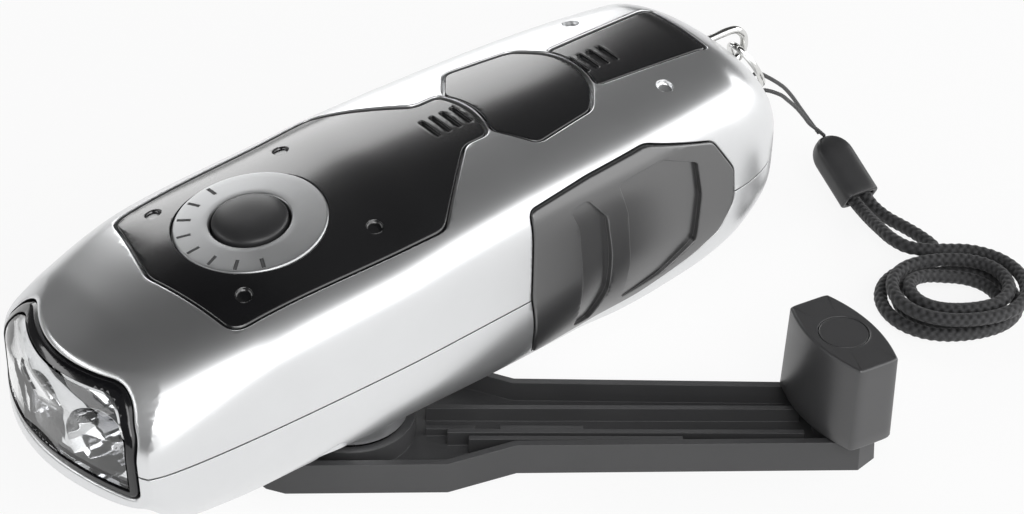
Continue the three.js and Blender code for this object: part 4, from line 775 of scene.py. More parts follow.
def lampPlace(s, side):
    return (Matrix.Translation((noseX - s["back"], side * s["cupPitch"], s["cupZ"]))
            @ Matrix.Rotation(math.pi / 2, 4, "Y"))


casingSettings = {
    "hollowFront": 47, "beyond": 90, "openingDepth": 18, "halfSpaceReach": 200, "blockHalf": 40,
    "blockLow": -10, "blockHigh": 90,
}


# Box over the whole height and width of the body, from one x to another
def crossBlock(name, fromX, toX):
    half, low, high = (casingSettings[key] for key in ("blockHalf", "blockLow", "blockHigh"))
    return boxPiece(name, (fromX, -half, low), (toX, half, high))


# Casing: outer solid, hollowed, with the pockets for the plates, the grips and the lens
def casing(s):
    body = housingSolid("casing")
    carve(body, [behindFace("front")], "INTERSECT")
    tools = [housingSolid("hollow", housing["wall"], coarse=True)]
    carve(tools[0], [crossBlock("hollowFront", s["hollowFront"], s["beyond"])])
    rings = pocketRings(0, lensSettings["lip"], s["openingDepth"])
    tools.append(outlineTool("opening", lensOutline(), rings, onFace()))
    rings = pocketRings(plates["gap"] / 2, plates["lip"], plates["reach"])
    for key in ("front", "centre", "rear"):
        pocket = outlineTool("pocket", roundedOutline(plates[key], plates["corner"]), rings, onTop())
        tools.append(carve(pocket, [housingSolid("pocketFloor", plates["floor"], coarse=True)]))
    outline = roundedOutline(grips["outline"], grips["corner"])
    rings = pocketRings(grips["gap"], grips["lip"], grips["reach"])
    for side in (1, -1):
        pocket = outlineTool("gripPocket", outline, rings, onSide(side))
        tools.append(carve(pocket, [housingSolid("gripFloor", grips["floor"], coarse=True)]))
        x, y = plates["tailDimple"]
        tools.append(dimpleTool(x, side * y, plates["tailDimpleRadius"], plates["tailDimpleDepth"], 0))
    return carve(body, tools)


# Everything above the seam, or below it
def halfSpace(name, up):
    reach, gap = casingSettings["halfSpaceReach"], housing["seam"] / 2 * (1 if up else -1)
    back, front = -reach, reach
    far = reach if up else -reach
    corners = [(back, seamAt(back) + gap), (front, seamAt(front) + gap), (front, far), (back, far)]
    bm = bmesh.new()
    slab = bm.faces.new([bm.verts.new((x, -reach, z)) for x, z in corners])
    bmesh.ops.translate(bm, verts=extrudedVerts(bm, [slab]), vec=(0, 2 * reach, 0))
    return objectFrom(bm, name)


def cylinder(name, radius, low, high, steps, place=Matrix.Identity(4)):
    return turnedPiece(name, [(0, low), (radius, low), (radius, high), (0, high)], steps, place)


# Under the button: a seat for its ring joined to the casing, and the well that it works in
def buttonSeat(s):
    seat = cylinder("seat", s["seatRadius"], -s["seatDepth"], -s["seatTop"], steps=64, place=buttonPlace)
    carve(upperCasing, [seat], "UNION")
    well = cylinder("well", s["well"], -s["wellDepth"], s["wellTop"], steps=48, place=buttonPlace)
    carve(upperCasing, [well])


upperCasing = casing(casingSettings)
lowerCasing = duplicate(upperCasing)
upperCasing.name = "upperCasing"
lowerCasing.name = "lowerCasing"
carve(upperCasing, [halfSpace("above", True)], "INTERSECT")
carve(lowerCasing, [halfSpace("below", False)], "INTERSECT")
buttonSeat(buttonSettings)

# What shows under the belly: the boss round the crank's bush and the screws' wells
belowSettings = {
    "bossRadius": 9.5, "bossFoot": 5.93, "bossTop": 12, "bossEdge": 0.3, "bushHole": 5.3, "bushTop": 24,
    "wells": [(16, 17.3, 13.2), (16, -17.3, 13.2), (-53, 11, 12), (-53, -11, 12)],
    "wellRadius": 2.8, "postRadius": 3.4, "postTop": 30, "shank": 1.5, "shankTop": 40, "skin": 0.02,
}


def bellyDetails(s):
    radius, foot, edge = s["bossRadius"], s["bossFoot"], s["bossEdge"]
    boss = turnedPiece("boss", [(0, foot), (radius - edge, foot), (radius, foot + edge),
                                (radius, s["bossTop"]), (0, s["bossTop"])], steps=72)
    carve(lowerCasing, [boss], "UNION")
    outer = housingSolid("outer", s["skin"], coarse=True)
    tools = [cylinder("bushHole", s["bushHole"], 0, s["bushTop"], steps=48)]
    for x, y, depth in s["wells"]:
        place = Matrix.Translation((x, y, 0))
        post = cylinder("post", s["postRadius"], 0, s["postTop"], steps=32, place=place)
        carve(post, [duplicate(outer)], "INTERSECT")
        carve(lowerCasing, [post], "UNION")
        seatZ = housing["belly"] + depth
        profile = [(0, 0), (s["wellRadius"], 0), (s["wellRadius"], seatZ), (s["shank"], seatZ),
                   (s["shank"], s["shankTop"]), (0, s["shankTop"])]
        tools.append(turnedPiece("well", profile, steps=32, place=place))
    bpy.data.objects.remove(outer)
    carve(lowerCasing, tools)


bellyDetails(belowSettings)
settle(upperCasing)
settle(lowerCasing)
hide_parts("upper_casing")
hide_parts("lower_casing")
print("casing made")


def lensFrame(s):
    outline = lensOutline()
    rings = pocketRings(-s["gap"], s["frameEdge"], s["frameDepth"], high=3, way=-1)
    piece = outlineTool("lensFrame", outline, rings, onFace())
    carve(piece, [behindFace("front", s["frameSunk"])], "INTERSECT")
    rings = pocketRings(-s["gap"] - s["frameWidth"], s["frameLip"], s["frameReach"])
    carve(piece, [outlineTool("frameHole", outline, rings, onFace())])
    settle(piece)
    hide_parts("lens_frame")
    return piece


# Straight-sided block behind the front face, with the opening's outline moved in
def faceBlock(name, inset, deep):
    rings = [(-inset, -deep), (-inset, lensSettings["ahead"])]
    return outlineTool(name, lensOutline(), rings, onFace())


def lensPane(s):
    deep = s["setback"] + s["thickness"] + s["paneReach"]
    piece = faceBlock("lensPane", 2 * s["gap"] + s["frameWidth"], deep)
    carve(piece, [behindFace("front", s["setback"])], "INTERSECT")
    carve(piece, [behindFace("rear", s["setback"] + s["thickness"])])
    settle(piece)
    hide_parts("lens")
    return piece


# Reflector: body and flange in one, with a paraboloid cup for each lamp
def reflectorPiece(s):
    back = noseX - s["back"]
    front = s["setback"] + s["thickness"] + s["gap"]
    blocks = []
    for name, inset, setback in (("reflectorPiece", s["inset"], front),
                                 ("flange", s["flangeInset"], s["frameDepth"] + s["gap"])):
        block = faceBlock(name, inset, s["reflectorReach"])
        carve(block, [behindFace("front", setback)], "INTERSECT")
        blocks.append(carve(block, [crossBlock("behind", s["behind"], back)]))
    piece = carve(blocks[0], blocks[1:], "UNION")
    throat, low, top = s["cupThroat"], s["throatLow"], s["throatTop"]
    profile = [(0, low), (throat, low), (throat, top)]
    for k in range(1, s["cupSteps"] + 1):  # from the throat to the rim
        share = k / s["cupSteps"]
        profile.append((throat + (s["cupRadius"] - throat) * share ** 0.5, top + s["cupLength"] * share))
    profile += [(s["cupRadius"] + s["rimGrow"], s["rimTop"]), (0, s["rimTop"])]
    carve(piece, [turnedPiece("cup", profile, steps=64, place=lampPlace(s, side)) for side in lampSides])
    settle(piece, smoothAngle=30)
    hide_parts("reflector")
    return piece


def lampPiece(s, index, side):
    flange, deep, edge = s["ledFlange"], s["ledFlangeDepth"], s["ledFlangeEdge"]
    radius, steps = s["ledRadius"], s["lampSteps"]
    profile = [(0, 0), (flange, 0), (flange, deep - edge), (flange - edge, deep), (radius, deep)]
    for k in range(steps + 1):
        turn = math.pi / 2 * k / steps
        profile.append((radius * math.cos(turn) if k < steps else 0,
                        s["ledLength"] - radius + radius * math.sin(turn)))
    piece = turnedPiece(f"lamp{index}", profile, steps=40, place=lampPlace(s, side))
    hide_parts(f"led_{index}")
    return piece


framePiece = lensFrame(lensSettings)
panePiece = lensPane(lensSettings)
mirrorPiece = reflectorPiece(lensSettings)
lampPieces = [lampPiece(lensSettings, i + 1, side) for i, side in enumerate(lampSides)]
print("lens group made")


# Lets the ring's face fall away a little to both sides, as the top of the body does
def crowned(piece, s):
    back = buttonPlace.inverted()
    for vert in piece.data.vertices:
        place = back @ (vert.co / mm)
        if place.z > -s["crownDepth"]:
            place.z -= s["ringCrown"] * (place.y / s["ringRadius"]) ** 2
            vert.co = buttonPlace @ place * mm


# Button and the ring round it
def ringPiece(s):
    inner = s["radius"] + s["gap"]
    edge, outer, deep = s["ringEdge"], s["ringRadius"], s["ringThickness"]
    turns = (0.39, 0.79, 1.18, 1.57)  # a quarter turn in four steps
    profile = [(inner, -deep), (outer, -deep), (outer, -edge)]
    profile += [(outer - edge + edge * math.cos(t), -edge + edge * math.sin(t)) for t in turns]
    profile += [(outer - edge + (inner + 2 * edge - outer) * share, 0) for share in (0.2, 0.4, 0.6, 0.8)]
    profile += [(inner + edge - edge * math.cos(t), -edge + edge * math.sin(t)) for t in reversed(turns)]
    profile += [(inner, -edge), (inner, -deep)]
    piece = turnedPiece("buttonRing", profile, steps=128, place=buttonPlace)
    half, low, end = s["tickHalf"], -s["tickDepth"], outer - s["tickInset"]
    start, gap = end - s["tickLength"], s["markGap"]
    ticks, marks = [], []
    for i in range(s["tickCount"]):
        turn = math.radians(s["tickFirst"] + i * s["tickSpan"] / (s["tickCount"] - 1))
        place = buttonPlace @ Matrix.Rotation(turn, 4, "Z")
        ticks.append(boxPiece("tick", (start, -half, low), (end, half, s["tickHigh"]), place))
        marks.append(boxPiece("mark", (start + gap, -half + gap, low - s["markDepth"]),
                              (end - gap, half - gap, -s["markSunk"]), place))
    carve(piece, ticks)
    settle(piece)
    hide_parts("button_ring")
    inlay = marks[0]
    inlay.name = "ringMarks"
    carve(inlay, marks[1:], "UNION")
    crowned(piece, s)
    crowned(inlay, s)
    return piece, inlay


def buttonPiece(s):
    foot, radius, steps = -s["skirt"] - s["flangeDepth"], s["radius"] - s["slack"], s["domeSteps"]
    profile = [(0, foot - s["stemLength"]), (s["stem"], foot - s["stemLength"]), (s["stem"], foot),
               (s["flange"], foot), (s["flange"], -s["skirt"]), (radius, -s["skirt"])]
    for k in range(steps + 1):
        turn = math.pi / 2 * k / steps
        profile.append((radius * math.cos(turn) ** s["domeRound"] if k < steps else 0,
                        s["dome"] * math.sin(turn)))
    piece = turnedPiece("pushButton", profile, steps=96, place=buttonPlace)
    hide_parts("power_button")
    return piece


ringPart, ringMarks = ringPiece(buttonSettings)
pushButton = buttonPiece(buttonSettings)
print("button made")

# Knob on the crank: bulging sides, softened edges, a round cap let into its top
knobSettings = {
    "x": -64.717, "y": 47.538, "axis": 82, "halfLength": 9.98, "halfWidth": 3.7, "bulge": 2, "bottom": 6.1,
    "top": 22.4, "flare": 0.4, "foot": 0.5, "footTurn": 0.15, "edge": 0.5, "rim": 0.08, "corner": 1.6,
    "bulgeSteps": 24, "outlineStep": 0.8, "cornerSteps": 6, "heightSteps": 8, "closest": 0.02,
    "edgeTurns": (0.31, 0.63, 0.94, 1.26, 1.5708),
    "capRadius": 4.1, "capDepth": 1.6, "capGap": 0.12, "capSunk": 0.05,
    # the hole's rings: how far outside it and how deep; the cap's edge: how far in and how deep
    "holeRings": ((0.5, 0), (0.13, 0), (0.04, 0.04), (0, 0.12), (0, 1.9)),
    "capEdge": ((0, 0.15), (0.05, 0.05), (0.16, 0), (0.3, 0)),
}
armSettings = {"edge": 0.35, "segments": 3, "fromAngle": 30}


# Leaves out each point that nearly touches the one before it
def thinned(outline, closest):
    kept = [outline[0]]
    for point in outline[1:]:
        if np.linalg.norm(point - kept[-1]) > closest:
            kept.append(point)
    return np.array(kept)


def knobPiece(s):
    points = []
    for i in range(s["bulgeSteps"] + 1):
        share = 1 - 2 * i / s["bulgeSteps"]
        points.append((share * s["halfLength"], s["halfWidth"] + s["bulge"] * (1 - share * share)))
    points += [(-x, -y) for x, y in points]
    outline = roundedOutline(points, s["corner"], s["outlineStep"], s["cornerSteps"])
    outline = thinned(outline, s["closest"])
    normal = outwards(outline)
    turn = Matrix.Translation((s["x"], s["y"], 0)) @ Matrix.Rotation(math.radians(s["axis"]), 4, "Z")
    flare, bottom, top, steps = s["flare"], s["bottom"], s["top"], s["heightSteps"]
    foot, footTurn, edge = s["foot"], s["footTurn"], s["edge"]
    rings = [(flare - foot, bottom), (flare - footTurn, bottom + footTurn), (flare, bottom + foot)]
    rings += [(flare * (1 - k / steps), bottom + foot + (top - edge - bottom - foot) * k / steps)
              for k in range(1, steps + 1)]
    rings += [(-edge * (1 - math.cos(t)), top - edge + edge * math.sin(t)) for t in s["edgeTurns"]]
    rings.append((-edge - s["rim"], top))
    rows = [[tuple(turn @ Vector((*(point + push * offset), z))) for point, push in zip(outline, normal)]
            for offset, z in rings]
    radius = s["capRadius"] + s["capGap"]
    facing = outline / np.linalg.norm(outline, axis=1)[:, None]
    for reach, depth in s["holeRings"]:
        rows.append([tuple(turn @ Vector((*(point * (radius + reach)), top - depth))) for point in facing])
    piece = objectFrom(wrappedGrid(rows), "knobBody")
    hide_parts("knob")
    profile = [(0, -s["capDepth"]), (s["capRadius"], -s["capDepth"])]
    profile += [(s["capRadius"] - inwards, -depth) for inwards, depth in s["capEdge"]]
    profile.append((0, 0))
    sunk = Matrix.Translation((0, 0, top - s["capSunk"]))
    cap = turnedPiece("knobCap", profile, steps=72, place=turn @ sunk)
    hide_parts("knob_cap")
    return piece, cap


knobBody, knobCap = knobPiece(knobSettings)
armPiece = softened("crank_arm", "crankArm", armSettings)
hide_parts("crank_arm")
print("crank made")

# Cord eye and the oval ring that hangs from it
wireSettings = {
    "eyeWire": 0.7, "upper": 50.9, "lower": 44, "inX": -73.4, "lowInX": -77, "outX": -80.4, "farX": -83,
    "bend": 0.3, "eyeStep": 0.35, "eyeSides": 24, "ringWire": 0.6, "ringTop": (-81.25, 47.3),
    "ringFoot": (-86.9, 38), "ringHalf": 3.2, "ringSteps": 96, "ringSides": 20, "smoothAngle": 60,
}


def eyePiece(s):
    upper, lower, outX, farX, bend = s["upper"], s["lower"], s["outX"], s["farX"], s["bend"]
    middle = (upper + lower) / 2
    between = (outX + 2 * farX) / 3
    points = [(s["inX"], 0, upper), (outX, 0, upper), (between, 0, upper - (upper - middle) * bend),
              (farX, 0, middle + (upper - middle) * bend), (farX, 0, middle - (middle - lower) * bend),
              (between, 0, lower + (middle - lower) * bend), (outX, 0, lower), (s["lowInX"], 0, lower)]
    line = smoothLine(points, s["eyeStep"])
    bm = wrappedGrid(tubeRows(line, s["eyeSides"], plainRadius(s["eyeWire"])))
    piece = objectFrom(bm, "cordEye", s["smoothAngle"])
    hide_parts("cord_eye")
    return piece


def hangingRing(s):
    (topX, topZ), (footX, footZ) = s["ringTop"], s["ringFoot"]
    line = []
    for i in range(s["ringSteps"] + 1):
        angle = 2 * math.pi * i / s["ringSteps"]
        along = math.cos(angle)
        line.append(((topX + footX) / 2 + (topX - footX) / 2 * along, s["ringHalf"] * math.sin(angle),
                     (topZ + footZ) / 2 + (topZ - footZ) / 2 * along))
    rows = tubeRows(np.array(line), s["ringSides"], plainRadius(s["ringWire"]))
    rows[-1] = rows[0]  # so that the ring closes
    piece = objectFrom(wrappedGrid(rows, capped=False), "hangingRing", s["smoothAngle"])
    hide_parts("cord_ring")
    return piece


eye = eyePiece(wireSettings)
hanging = hangingRing(wireSettings)
print("eye and ring made")


# Materials: colours are written as sRGB
def hexColour(text):
    channels = [int(text[i:i + 2], 16) / 255 for i in (1, 3, 5)]
    linear = [c / 12.92 if c <= 0.04045 else ((c + 0.055) / 1.055) ** 2.4 for c in channels]
    return (*linear, 1)


# Adds one node with its settings, socket values and links; i0, i1 and so on name sockets by number
def addNode(tree, kind, settings=(), **inputs):
    node = tree.nodes.new(kind)
    for key, value in dict(settings).items():
        setattr(node, key, value)
    for key, value in inputs.items():
        byNumber = key[0] == "i" and key[1:].isdigit()
        socket = node.inputs[int(key[1:]) if byNumber else key.replace("_", " ")]
        if isinstance(value, bpy.types.NodeSocket):
            tree.links.new(value, socket)
        else:
            socket.default_value = value
    return node


def newMaterial(name):
    material = bpy.data.materials.new(name)
    material.use_nodes = True
    material.node_tree.nodes.clear()
    return material, material.node_tree


def finishMaterial(tree, shader):
    output = addNode(tree, "ShaderNodeOutputMaterial")
    tree.links.new(shader.outputs[0], output.inputs["Surface"])


# Colour and roughness that vary a little, over a fine bump and softened edges
def mouldedFinish(name, s):
    material, tree = newMaterial(name)
    place = addNode(tree, "ShaderNodeTexCoord").outputs["Object"]
    cloud = addNode(tree, "ShaderNodeTexNoise", Vector=place, Scale=1 / (s["cloudSize"] * mm), Detail=3.0,
                    Roughness=0.55)
    tint = addNode(tree, "ShaderNodeMix", {"data_type": "RGBA"}, i0=cloud.outputs["Fac"],
                   i6=hexColour(s["dark"]), i7=hexColour(s["light"]))
    grain = addNode(tree, "ShaderNodeTexNoise", Vector=place, Scale=1 / (s["grainSize"] * mm), Detail=2.0,
                    Roughness=0.6)
    rough = addNode(tree, "ShaderNodeMapRange", Value=cloud.outputs["Fac"], To_Min=s["smooth"],
                    To_Max=s["rough"])
    edges = addNode(tree, "ShaderNodeBevel", {"samples": 4}, Radius=s.get("edge", 0.12) * mm)
    bump = addNode(tree, "ShaderNodeBump", Height=grain.outputs["Fac"], Strength=s["grainStrength"],
                   Distance=s["grainDepth"] * mm, Normal=edges.outputs["Normal"])
    shader = addNode(tree, "ShaderNodeBsdfPrincipled", Base_Color=tint.outputs[2], Roughness=rough.outputs[0],
                     Normal=bump.outputs["Normal"], Metallic=s.get("metallic", 0.0))
    shader.inputs["IOR"].default_value = s.get("ior", 1.5)
    shader.inputs["Coat Weight"].default_value = s.get("coat", 0.0)
    shader.inputs["Coat Roughness"].default_value = s.get("coatRoughness", 0.05)
    shader.inputs["Specular IOR Level"].default_value = s.get("specular", 0.5)
    finishMaterial(tree, shader)
    return material


finishes = {
    # silver lacquer on moulded ABS: satin, a faint orange peel under a thin clear coat
    "silverLacquer": {"dark": "#dfe0e1", "light": "#e5e6e7", "cloudSize": 9, "grainSize": 1.6,
                      "smooth": 0.285, "rough": 0.32, "grainStrength": 0.2, "grainDepth": 0.004,
                      "metallic": 0.9, "coat": 0.25, "coatRoughness": 0.12, "edge": 0.16},
    # brighter satin plate of the ring round the button
    "satinPlate": {"dark": "#b4b5b6", "light": "#c0c1c2", "cloudSize": 5, "grainSize": 0.2, "smooth": 0.34,
                   "rough": 0.42, "grainStrength": 0.1, "grainDepth": 0.015, "metallic": 0.88, "coat": 0.2,
                   "coatRoughness": 0.15, "edge": 0.1},
    # high-gloss moulded ABS: almost black, faint flow lines
    "glossAbs": {"dark": "#131314", "light": "#19191b", "cloudSize": 12, "grainSize": 0.9, "smooth": 0.2,
                 "rough": 0.26, "grainStrength": 0.04, "grainDepth": 0.02, "specular": 0.8, "coat": 0.6,
                 "coatRoughness": 0.15},
    # soft-touch rubber: matt with a fine spark texture
    "softRubber": {"dark": "#1c1c1d", "light": "#222223", "cloudSize": 7, "grainSize": 0.3, "smooth": 0.3,
                   "rough": 0.35, "grainStrength": 0.16, "grainDepth": 0.03, "ior": 1.65, "specular": 1.0,
                   "coat": 0.6, "coatRoughness": 0.24},
    # satin moulded ABS of the crank: dark grey, fine grain
    "satinAbs": {"dark": "#3c3c3d", "light": "#454546", "cloudSize": 14, "grainSize": 0.35, "smooth": 0.36,
                 "rough": 0.44, "grainStrength": 0.16, "grainDepth": 0.03},
    # the knob's ABS, finely spark-eroded: satin, so its bowed sides shade from pale to dark
    "sparkedAbs": {"dark": "#3c3c3d", "light": "#434344", "cloudSize": 9, "grainSize": 0.35, "smooth": 0.3,
                   "rough": 0.36, "grainStrength": 0.12, "grainDepth": 0.02, "specular": 0.8},
    # darker ABS of the lens frame, polished
    "polishedAbs": {"dark": "#101011", "light": "#17171a", "cloudSize": 6, "grainSize": 0.6, "smooth": 0.12,
                    "rough": 0.18, "grainStrength": 0.04, "grainDepth": 0.02, "coat": 0.5},
    # nickel-plated steel wire: bright, its reflections a little soft
    "nickelPlate": {"dark": "#cfcfcd", "light": "#e6e6e4", "cloudSize": 2, "grainSize": 0.25, "smooth": 0.08,
                    "rough": 0.16, "grainStrength": 0.06, "grainDepth": 0.01, "metallic": 1.0},
    # aluminium deposited in the reflector's cups: nearly a mirror
    "mirrorPlate": {"dark": "#dadadc", "light": "#efeff0", "cloudSize": 4, "grainSize": 1.2, "smooth": 0.03,
                    "rough": 0.07, "grainStrength": 0.05, "grainDepth": 0.02, "metallic": 1.0},
    # dark print in the ring's marks: flat, without shine
    "printInk": {"dark": "#3a3a3b", "light": "#4a4a4b", "cloudSize": 1, "grainSize": 0.1, "smooth": 0.5,
                 "rough": 0.65, "grainStrength": 0.1, "grainDepth": 0.01},
    # soft PVC of the lock sleeve and the button: dark, between satin and matt
    "softPvc": {"dark": "#2a2a2b", "light": "#333334", "cloudSize": 3, "grainSize": 0.3, "smooth": 0.34,
                "rough": 0.42, "grainStrength": 0.12, "grainDepth": 0.02},
    # acetal of the gears and the gearbox: milky, waxy
    "acetal": {"dark": "#dcd8cb", "light": "#e9e5d9", "cloudSize": 5, "grainSize": 0.3, "smooth": 0.42,
               "rough": 0.55, "grainStrength": 0.1, "grainDepth": 0.02},
    # turned steel of shafts, screws and the generator's can: grey, half bright
    "plainSteel": {"dark": "#9b9c9e", "light": "#b2b3b5", "cloudSize": 2, "grainSize": 0.15, "smooth": 0.29,
                   "rough": 0.38, "grainStrength": 0.1, "grainDepth": 0.01, "metallic": 1.0},
    # bush pressed from bronze powder: brown gold, open-grained
    "sinteredBronze": {"dark": "#8c6a3c", "light": "#a9834e", "cloudSize": 1.5, "grainSize": 0.2,
                       "smooth": 0.4, "rough": 0.55, "grainStrength": 0.2, "grainDepth": 0.02,
                       "metallic": 0.9},
    # enamelled copper winding: red brown, ridged
    "copperWire": {"dark": "#8e4a22", "light": "#b8683a", "cloudSize": 1, "grainSize": 0.3, "smooth": 0.28,
                   "rough": 0.4, "grainStrength": 0.3, "grainDepth": 0.05, "metallic": 0.85},
    # fired ferrite of the magnet: charcoal, dead matt
    "ferrite": {"dark": "#2b2b2c", "light": "#353536", "cloudSize": 1, "grainSize": 0.2, "smooth": 0.6,
                "rough": 0.72, "grainStrength": 0.2, "grainDepth": 0.02},
    # solder mask over glass-fibre board: green, satin
    "circuitLaminate": {"dark": "#1e5a31", "light": "#2b6e3e", "cloudSize": 4, "grainSize": 0.4,
                        "smooth": 0.4, "rough": 0.5, "grainStrength": 0.1, "grainDepth": 0.01},
    # sleeve shrunk over the cells: blue, smooth
    "shrinkSleeve": {"dark": "#2f6ea0", "light": "#3b7fb4", "cloudSize": 5, "grainSize": 0.8, "smooth": 0.3,
                     "rough": 0.4, "grainStrength": 0.1, "grainDepth": 0.03},
}
materials = {name: mouldedFinish(name, settings) for name, settings in finishes.items()}


# Clear polycarbonate and epoxy: only a whisper of haze, in clouds of a few millimetres
def clearFinish(name, ior, haze, cloudSize=3):
    material, tree = newMaterial(name)
    place = addNode(tree, "ShaderNodeTexCoord").outputs["Object"]
    cloud = addNode(tree, "ShaderNodeTexNoise", Vector=place, Scale=1 / (cloudSize * mm), Detail=2.0)
    rough = addNode(tree, "ShaderNodeMapRange", Value=cloud.outputs["Fac"], To_Min=0.0, To_Max=haze)
    tint = addNode(tree, "ShaderNodeMix", {"data_type": "RGBA"}, i0=cloud.outputs["Fac"],
                   i6=hexColour("#f6f8f8"), i7=hexColour("#ffffff"))
    shader = addNode(tree, "ShaderNodeBsdfPrincipled", Base_Color=tint.outputs[2], Roughness=rough.outputs[0])
    shader.inputs["IOR"].default_value = ior
    shader.inputs["Transmission Weight"].default_value = 1.0
    finishMaterial(tree, shader)
    return material


materials["clearPolycarbonate"] = clearFinish("clearPolycarbonate", 1.5, 0.02)
materials["clearEpoxy"] = clearFinish("clearEpoxy", 1.53, 0.05)


# Polyester braid: painted highlight and painted shade, the colour lighter on the strands' crowns and near
# black in the gaps between them
def braidFinish(name, length, s):
    multiply, cosine = {"operation": "MULTIPLY"}, {"operation": "COSINE"}
    material, tree = newMaterial(name)
    flat = addNode(tree, "ShaderNodeUVMap", {"uv_map": "UVMap"}).outputs["UV"]
    split = addNode(tree, "ShaderNodeSeparateXYZ", Vector=flat)
    along = addNode(tree, "ShaderNodeMath", multiply, i0=split.outputs["Y"], i1=length / s["pitch"])
    along = addNode(tree, "ShaderNodeMath", multiply, i0=along.outputs[0], i1=2 * math.pi)
    along = addNode(tree, "ShaderNodeMath", cosine, i0=along.outputs[0])
    around = addNode(tree, "ShaderNodeMath", multiply, i0=split.outputs["X"], i1=2 * math.pi * s["strands"])
    around = addNode(tree, "ShaderNodeMath", cosine, i0=around.outputs[0])
    product = addNode(tree, "ShaderNodeMath", multiply, i0=along.outputs[0], i1=around.outputs[0])
    bumps = addNode(tree, "ShaderNodeMapRange", Value=product.outputs[0], From_Min=-0.9, From_Max=0.9)
    # single threads run along each strand
    place = addNode(tree, "ShaderNodeMapping", Vector=flat,
                    Scale=(s["girth"] / s["threadWidth"], length / s["threadLength"], 1))
    threads = addNode(tree, "ShaderNodeTexNoise", Vector=place.outputs[0], Scale=1.0, Detail=2.0)
    threads = addNode(tree, "ShaderNodeMapRange", Value=threads.outputs["Fac"], From_Min=0.3, From_Max=0.7,
                      To_Min=0.45, To_Max=1.15)
    mixed = addNode(tree, "ShaderNodeMath", multiply, i0=bumps.outputs[0], i1=threads.outputs[0])
    # painted shade in the gaps and painted highlight on the crowns: the strands' height pattern, broken up by
    # the threads, mixes the dark and the light colour
    tint = addNode(tree, "ShaderNodeMix", {"data_type": "RGBA"}, i0=mixed.outputs[0],
                   i6=hexColour(s["dark"]), i7=hexColour(s["light"]))
    bump = addNode(tree, "ShaderNodeBump", Height=mixed.outputs[0], Strength=0.7,
                   Distance=s["threadWidth"] * mm)
    shader = addNode(tree, "ShaderNodeBsdfPrincipled", Base_Color=tint.outputs[2], Roughness=s["rough"],
                     Normal=bump.outputs["Normal"])
    shader.inputs["Sheen Weight"].default_value = s["sheen"]
    finishMaterial(tree, shader)
    return material


polyester = {"strands": 4, "threadWidth": 0.12, "threadLength": 0.9, "rough": 0.62, "sheen": 0.12}
# for both cords, dark is painted shade for the gaps between strands and light is painted highlight for their
# crowns
braidSettings = {**polyester, "girth": 7.85, "pitch": cordSettings["strandPitch"], "dark": "#0b0b0c",
                 "light": "#3e3e40"}
thinSettings = {**polyester, "girth": 2.2, "pitch": 0.7, "dark": "#1c1c1d", "light": "#3c3c3e"}
materials["polyesterBraid"] = braidFinish("polyesterBraid", lineLength(braidLine), braidSettings)
materials["thinCord"] = braidFinish("thinCord", lineLength(loopLine), thinSettings)


def dress(piece, body, material):
    piece.data.materials.clear()
    piece.data.materials.append(materials[material])
    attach(piece, body)


dress(braid, "housing", "polyesterBraid")
dress(loopPiece, "housing", "thinCord")
dress(lockPiece, "housing", "softPvc")
for piece in (frontPlate, centrePlate, rearPlate):
    dress(piece, "housing", "glossAbs")
for piece in (leftGrip, rightGrip):
    dress(piece, "housing", "softRubber")
for piece in (upperCasing, lowerCasing):
    dress(piece, "housing", "silverLacquer")
dress(ringPart, "housing", "satinPlate")
dress(ringMarks, "housing", "printInk")
dress(framePiece, "housing", "polishedAbs")
dress(panePiece, "housing", "clearPolycarbonate")
dress(mirrorPiece, "housing", "mirrorPlate")
for piece in lampPieces:
    dress(piece, "housing", "clearEpoxy")
dress(pushButton, "button", "softPvc")
for piece in (knobBody, knobCap):
    dress(piece, "knob", "sparkedAbs")
dress(armPiece, "crank", "satinAbs")
for piece in (eye, hanging):
    dress(piece, "housing", "nickelPlate")

# Nodes that keep their CAD shape
nodeFinishes = {
    "plainSteel": ["casing_screw_1", "casing_screw_2", "casing_screw_3", "casing_screw_4", "drive_shaft",
                   "idler_axle", "rotor_shaft", "crank_pin", "knob_spindle", "stator_can"],
    "acetal": ["gearbox_base", "gearbox_cover", "drive_gear", "idler_gear", "rotor_pinion"],
    "circuitLaminate": ["led_board", "circuit_board"], "satinAbs": ["switch_body"],
    "shrinkSleeve": ["battery_pack"], "sinteredBronze": ["shaft_bush"], "ferrite": ["rotor_magnet"],
    "copperWire": ["stator_coil"],
}
for finish, nodes in nodeFinishes.items():
    for node in nodes:
        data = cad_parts[node].data
        data.materials.clear()
        data.materials.append(materials[finish])
print("materials made")


# Floor, card and lights: places and sizes in metres, powers in watts
studio = {
    "floorHalf": 3, "floorPlace": (0, 0, -0.05 * mm), "floorColour": "#f4f4f4", "floorGlow": 0.88,
    "worldGrey": 0.08, "cardHalf": 0.5, "cardPlace": (0.3, -0.35, 0.95), "cardColour": "#141414",
    "lights": [
        # name, place, size, power, what it aims at
        ("sideSoftbox", (-0.36, 0.84, 0.44), (1.9, 0.95), 11, (-0.02, 0, 0.03)),
        ("farSoftbox", (-0.42, -0.96, 0.43), (0.58, 0.64), 3.2, (-0.03, 0, 0.05)),
        ("tailSoftbox", (-1.0, 0.2, 0.3), (0.7, 0.5), 2.8, (-0.05, 0, 0.04)),
        ("frontKey", (0.4, 0.78, 0.9), (0.7, 0.7), 5.6, (0, 0, 0.03)),
        ("lipSoftbox", (0.78, -0.4, 0.5), (1.1, 0.2), 2.2, (0.05, 0, 0.04)),
    ],
}


def flatSquare(name, half, place, material):
    bm = bmesh.new()
    bmesh.ops.create_grid(bm, x_segments=1, y_segments=1, size=half, matrix=Matrix.Translation(place))
    mesh = bpy.data.meshes.new(name)
    bm.to_mesh(mesh)
    bm.free()
    mesh.materials.append(material)
    square = bpy.data.objects.new(name, mesh)
    bpy.context.scene.collection.objects.link(square)
    return square


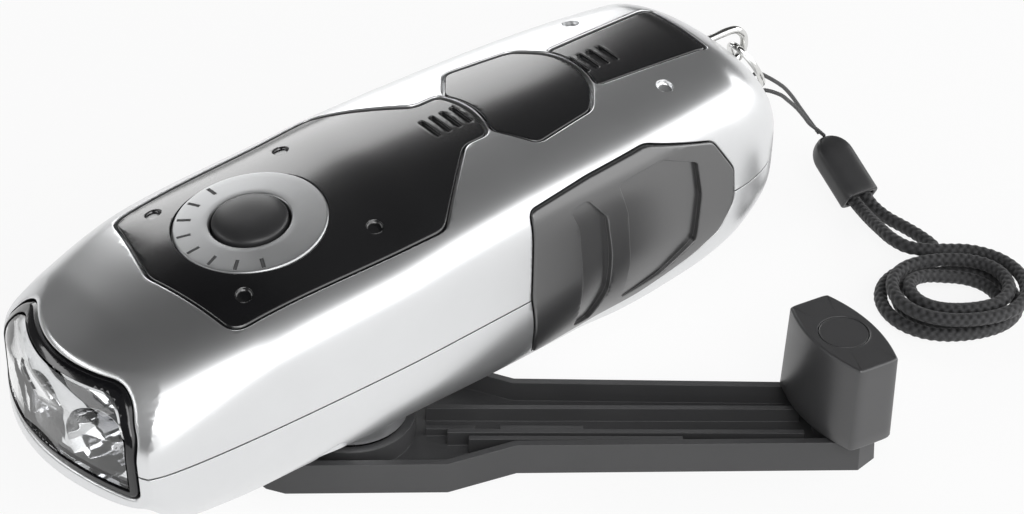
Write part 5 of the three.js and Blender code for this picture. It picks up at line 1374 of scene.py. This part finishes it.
# Floor that looks nearly white to the camera and in reflections, yet takes the shadow
def makeFloor(s):
    material, tree = newMaterial("paleFloor")
    diffuse = addNode(tree, "ShaderNodeBsdfDiffuse", Color=hexColour(s["floorColour"]))
    white = addNode(tree, "ShaderNodeEmission", Color=(1, 1, 1, 1), Strength=1.0)
    path = addNode(tree, "ShaderNodeLightPath")
    seen = addNode(tree, "ShaderNodeMath", {"operation": "ADD"}, i0=path.outputs["Is Camera Ray"],
                   i1=path.outputs["Is Glossy Ray"])
    seen = addNode(tree, "ShaderNodeMath", {"operation": "ADD"}, i0=seen.outputs[0],
                   i1=path.outputs["Is Transmission Ray"])
    share = addNode(tree, "ShaderNodeMath", {"operation": "MULTIPLY", "use_clamp": True},
                    i0=seen.outputs[0], i1=s["floorGlow"])
    mixed = addNode(tree, "ShaderNodeMixShader", i0=share.outputs[0], i1=diffuse.outputs[0],
                    i2=white.outputs[0])
    finishMaterial(tree, mixed)
    floor = flatSquare("floor", s["floorHalf"], s["floorPlace"], material)


def makeWorld(s):
    world = bpy.data.worlds.new("studio")
    bpy.context.scene.world = world
    world.use_nodes = True
    tree = world.node_tree
    tree.nodes.clear()
    path = addNode(tree, "ShaderNodeLightPath")
    grey = s["worldGrey"]
    dim = addNode(tree, "ShaderNodeBackground", Color=(grey, grey, grey, 1), Strength=1.0)
    bright = addNode(tree, "ShaderNodeBackground", Color=(1, 1, 1, 1), Strength=1.0)
    mixed = addNode(tree, "ShaderNodeMixShader", i0=path.outputs["Is Camera Ray"], i1=dim.outputs[0],
                    i2=bright.outputs[0])
    output = addNode(tree, "ShaderNodeOutputWorld")
    tree.links.new(mixed.outputs[0], output.inputs["Surface"])


# Dark card over the nose: the top of the body mirrors it
def makeCard(s):
    material, tree = newMaterial("blackFelt")
    finishMaterial(tree, addNode(tree, "ShaderNodeBsdfDiffuse", Color=hexColour(s["cardColour"])))
    card = flatSquare("darkCard", s["cardHalf"], s["cardPlace"], material)
    card.visible_camera = False


def makeLights(s):
    for name, place, size, power, target in s["lights"]:
        data = bpy.data.lights.new(name, "AREA")
        data.shape = "RECTANGLE"
        data.size, data.size_y = size
        data.energy = power
        light = bpy.data.objects.new(name, data)
        bpy.context.scene.collection.objects.link(light)
        light.location = place
        light.rotation_euler = (Vector(target) - Vector(place)).to_track_quat("-Z", "Y").to_euler()


makeFloor(studio)
makeWorld(studio)
makeCard(studio)
makeLights(studio)
bpy.context.scene.view_settings.view_transform = "Standard"
print("studio made")

bpy.context.view_layer.update()
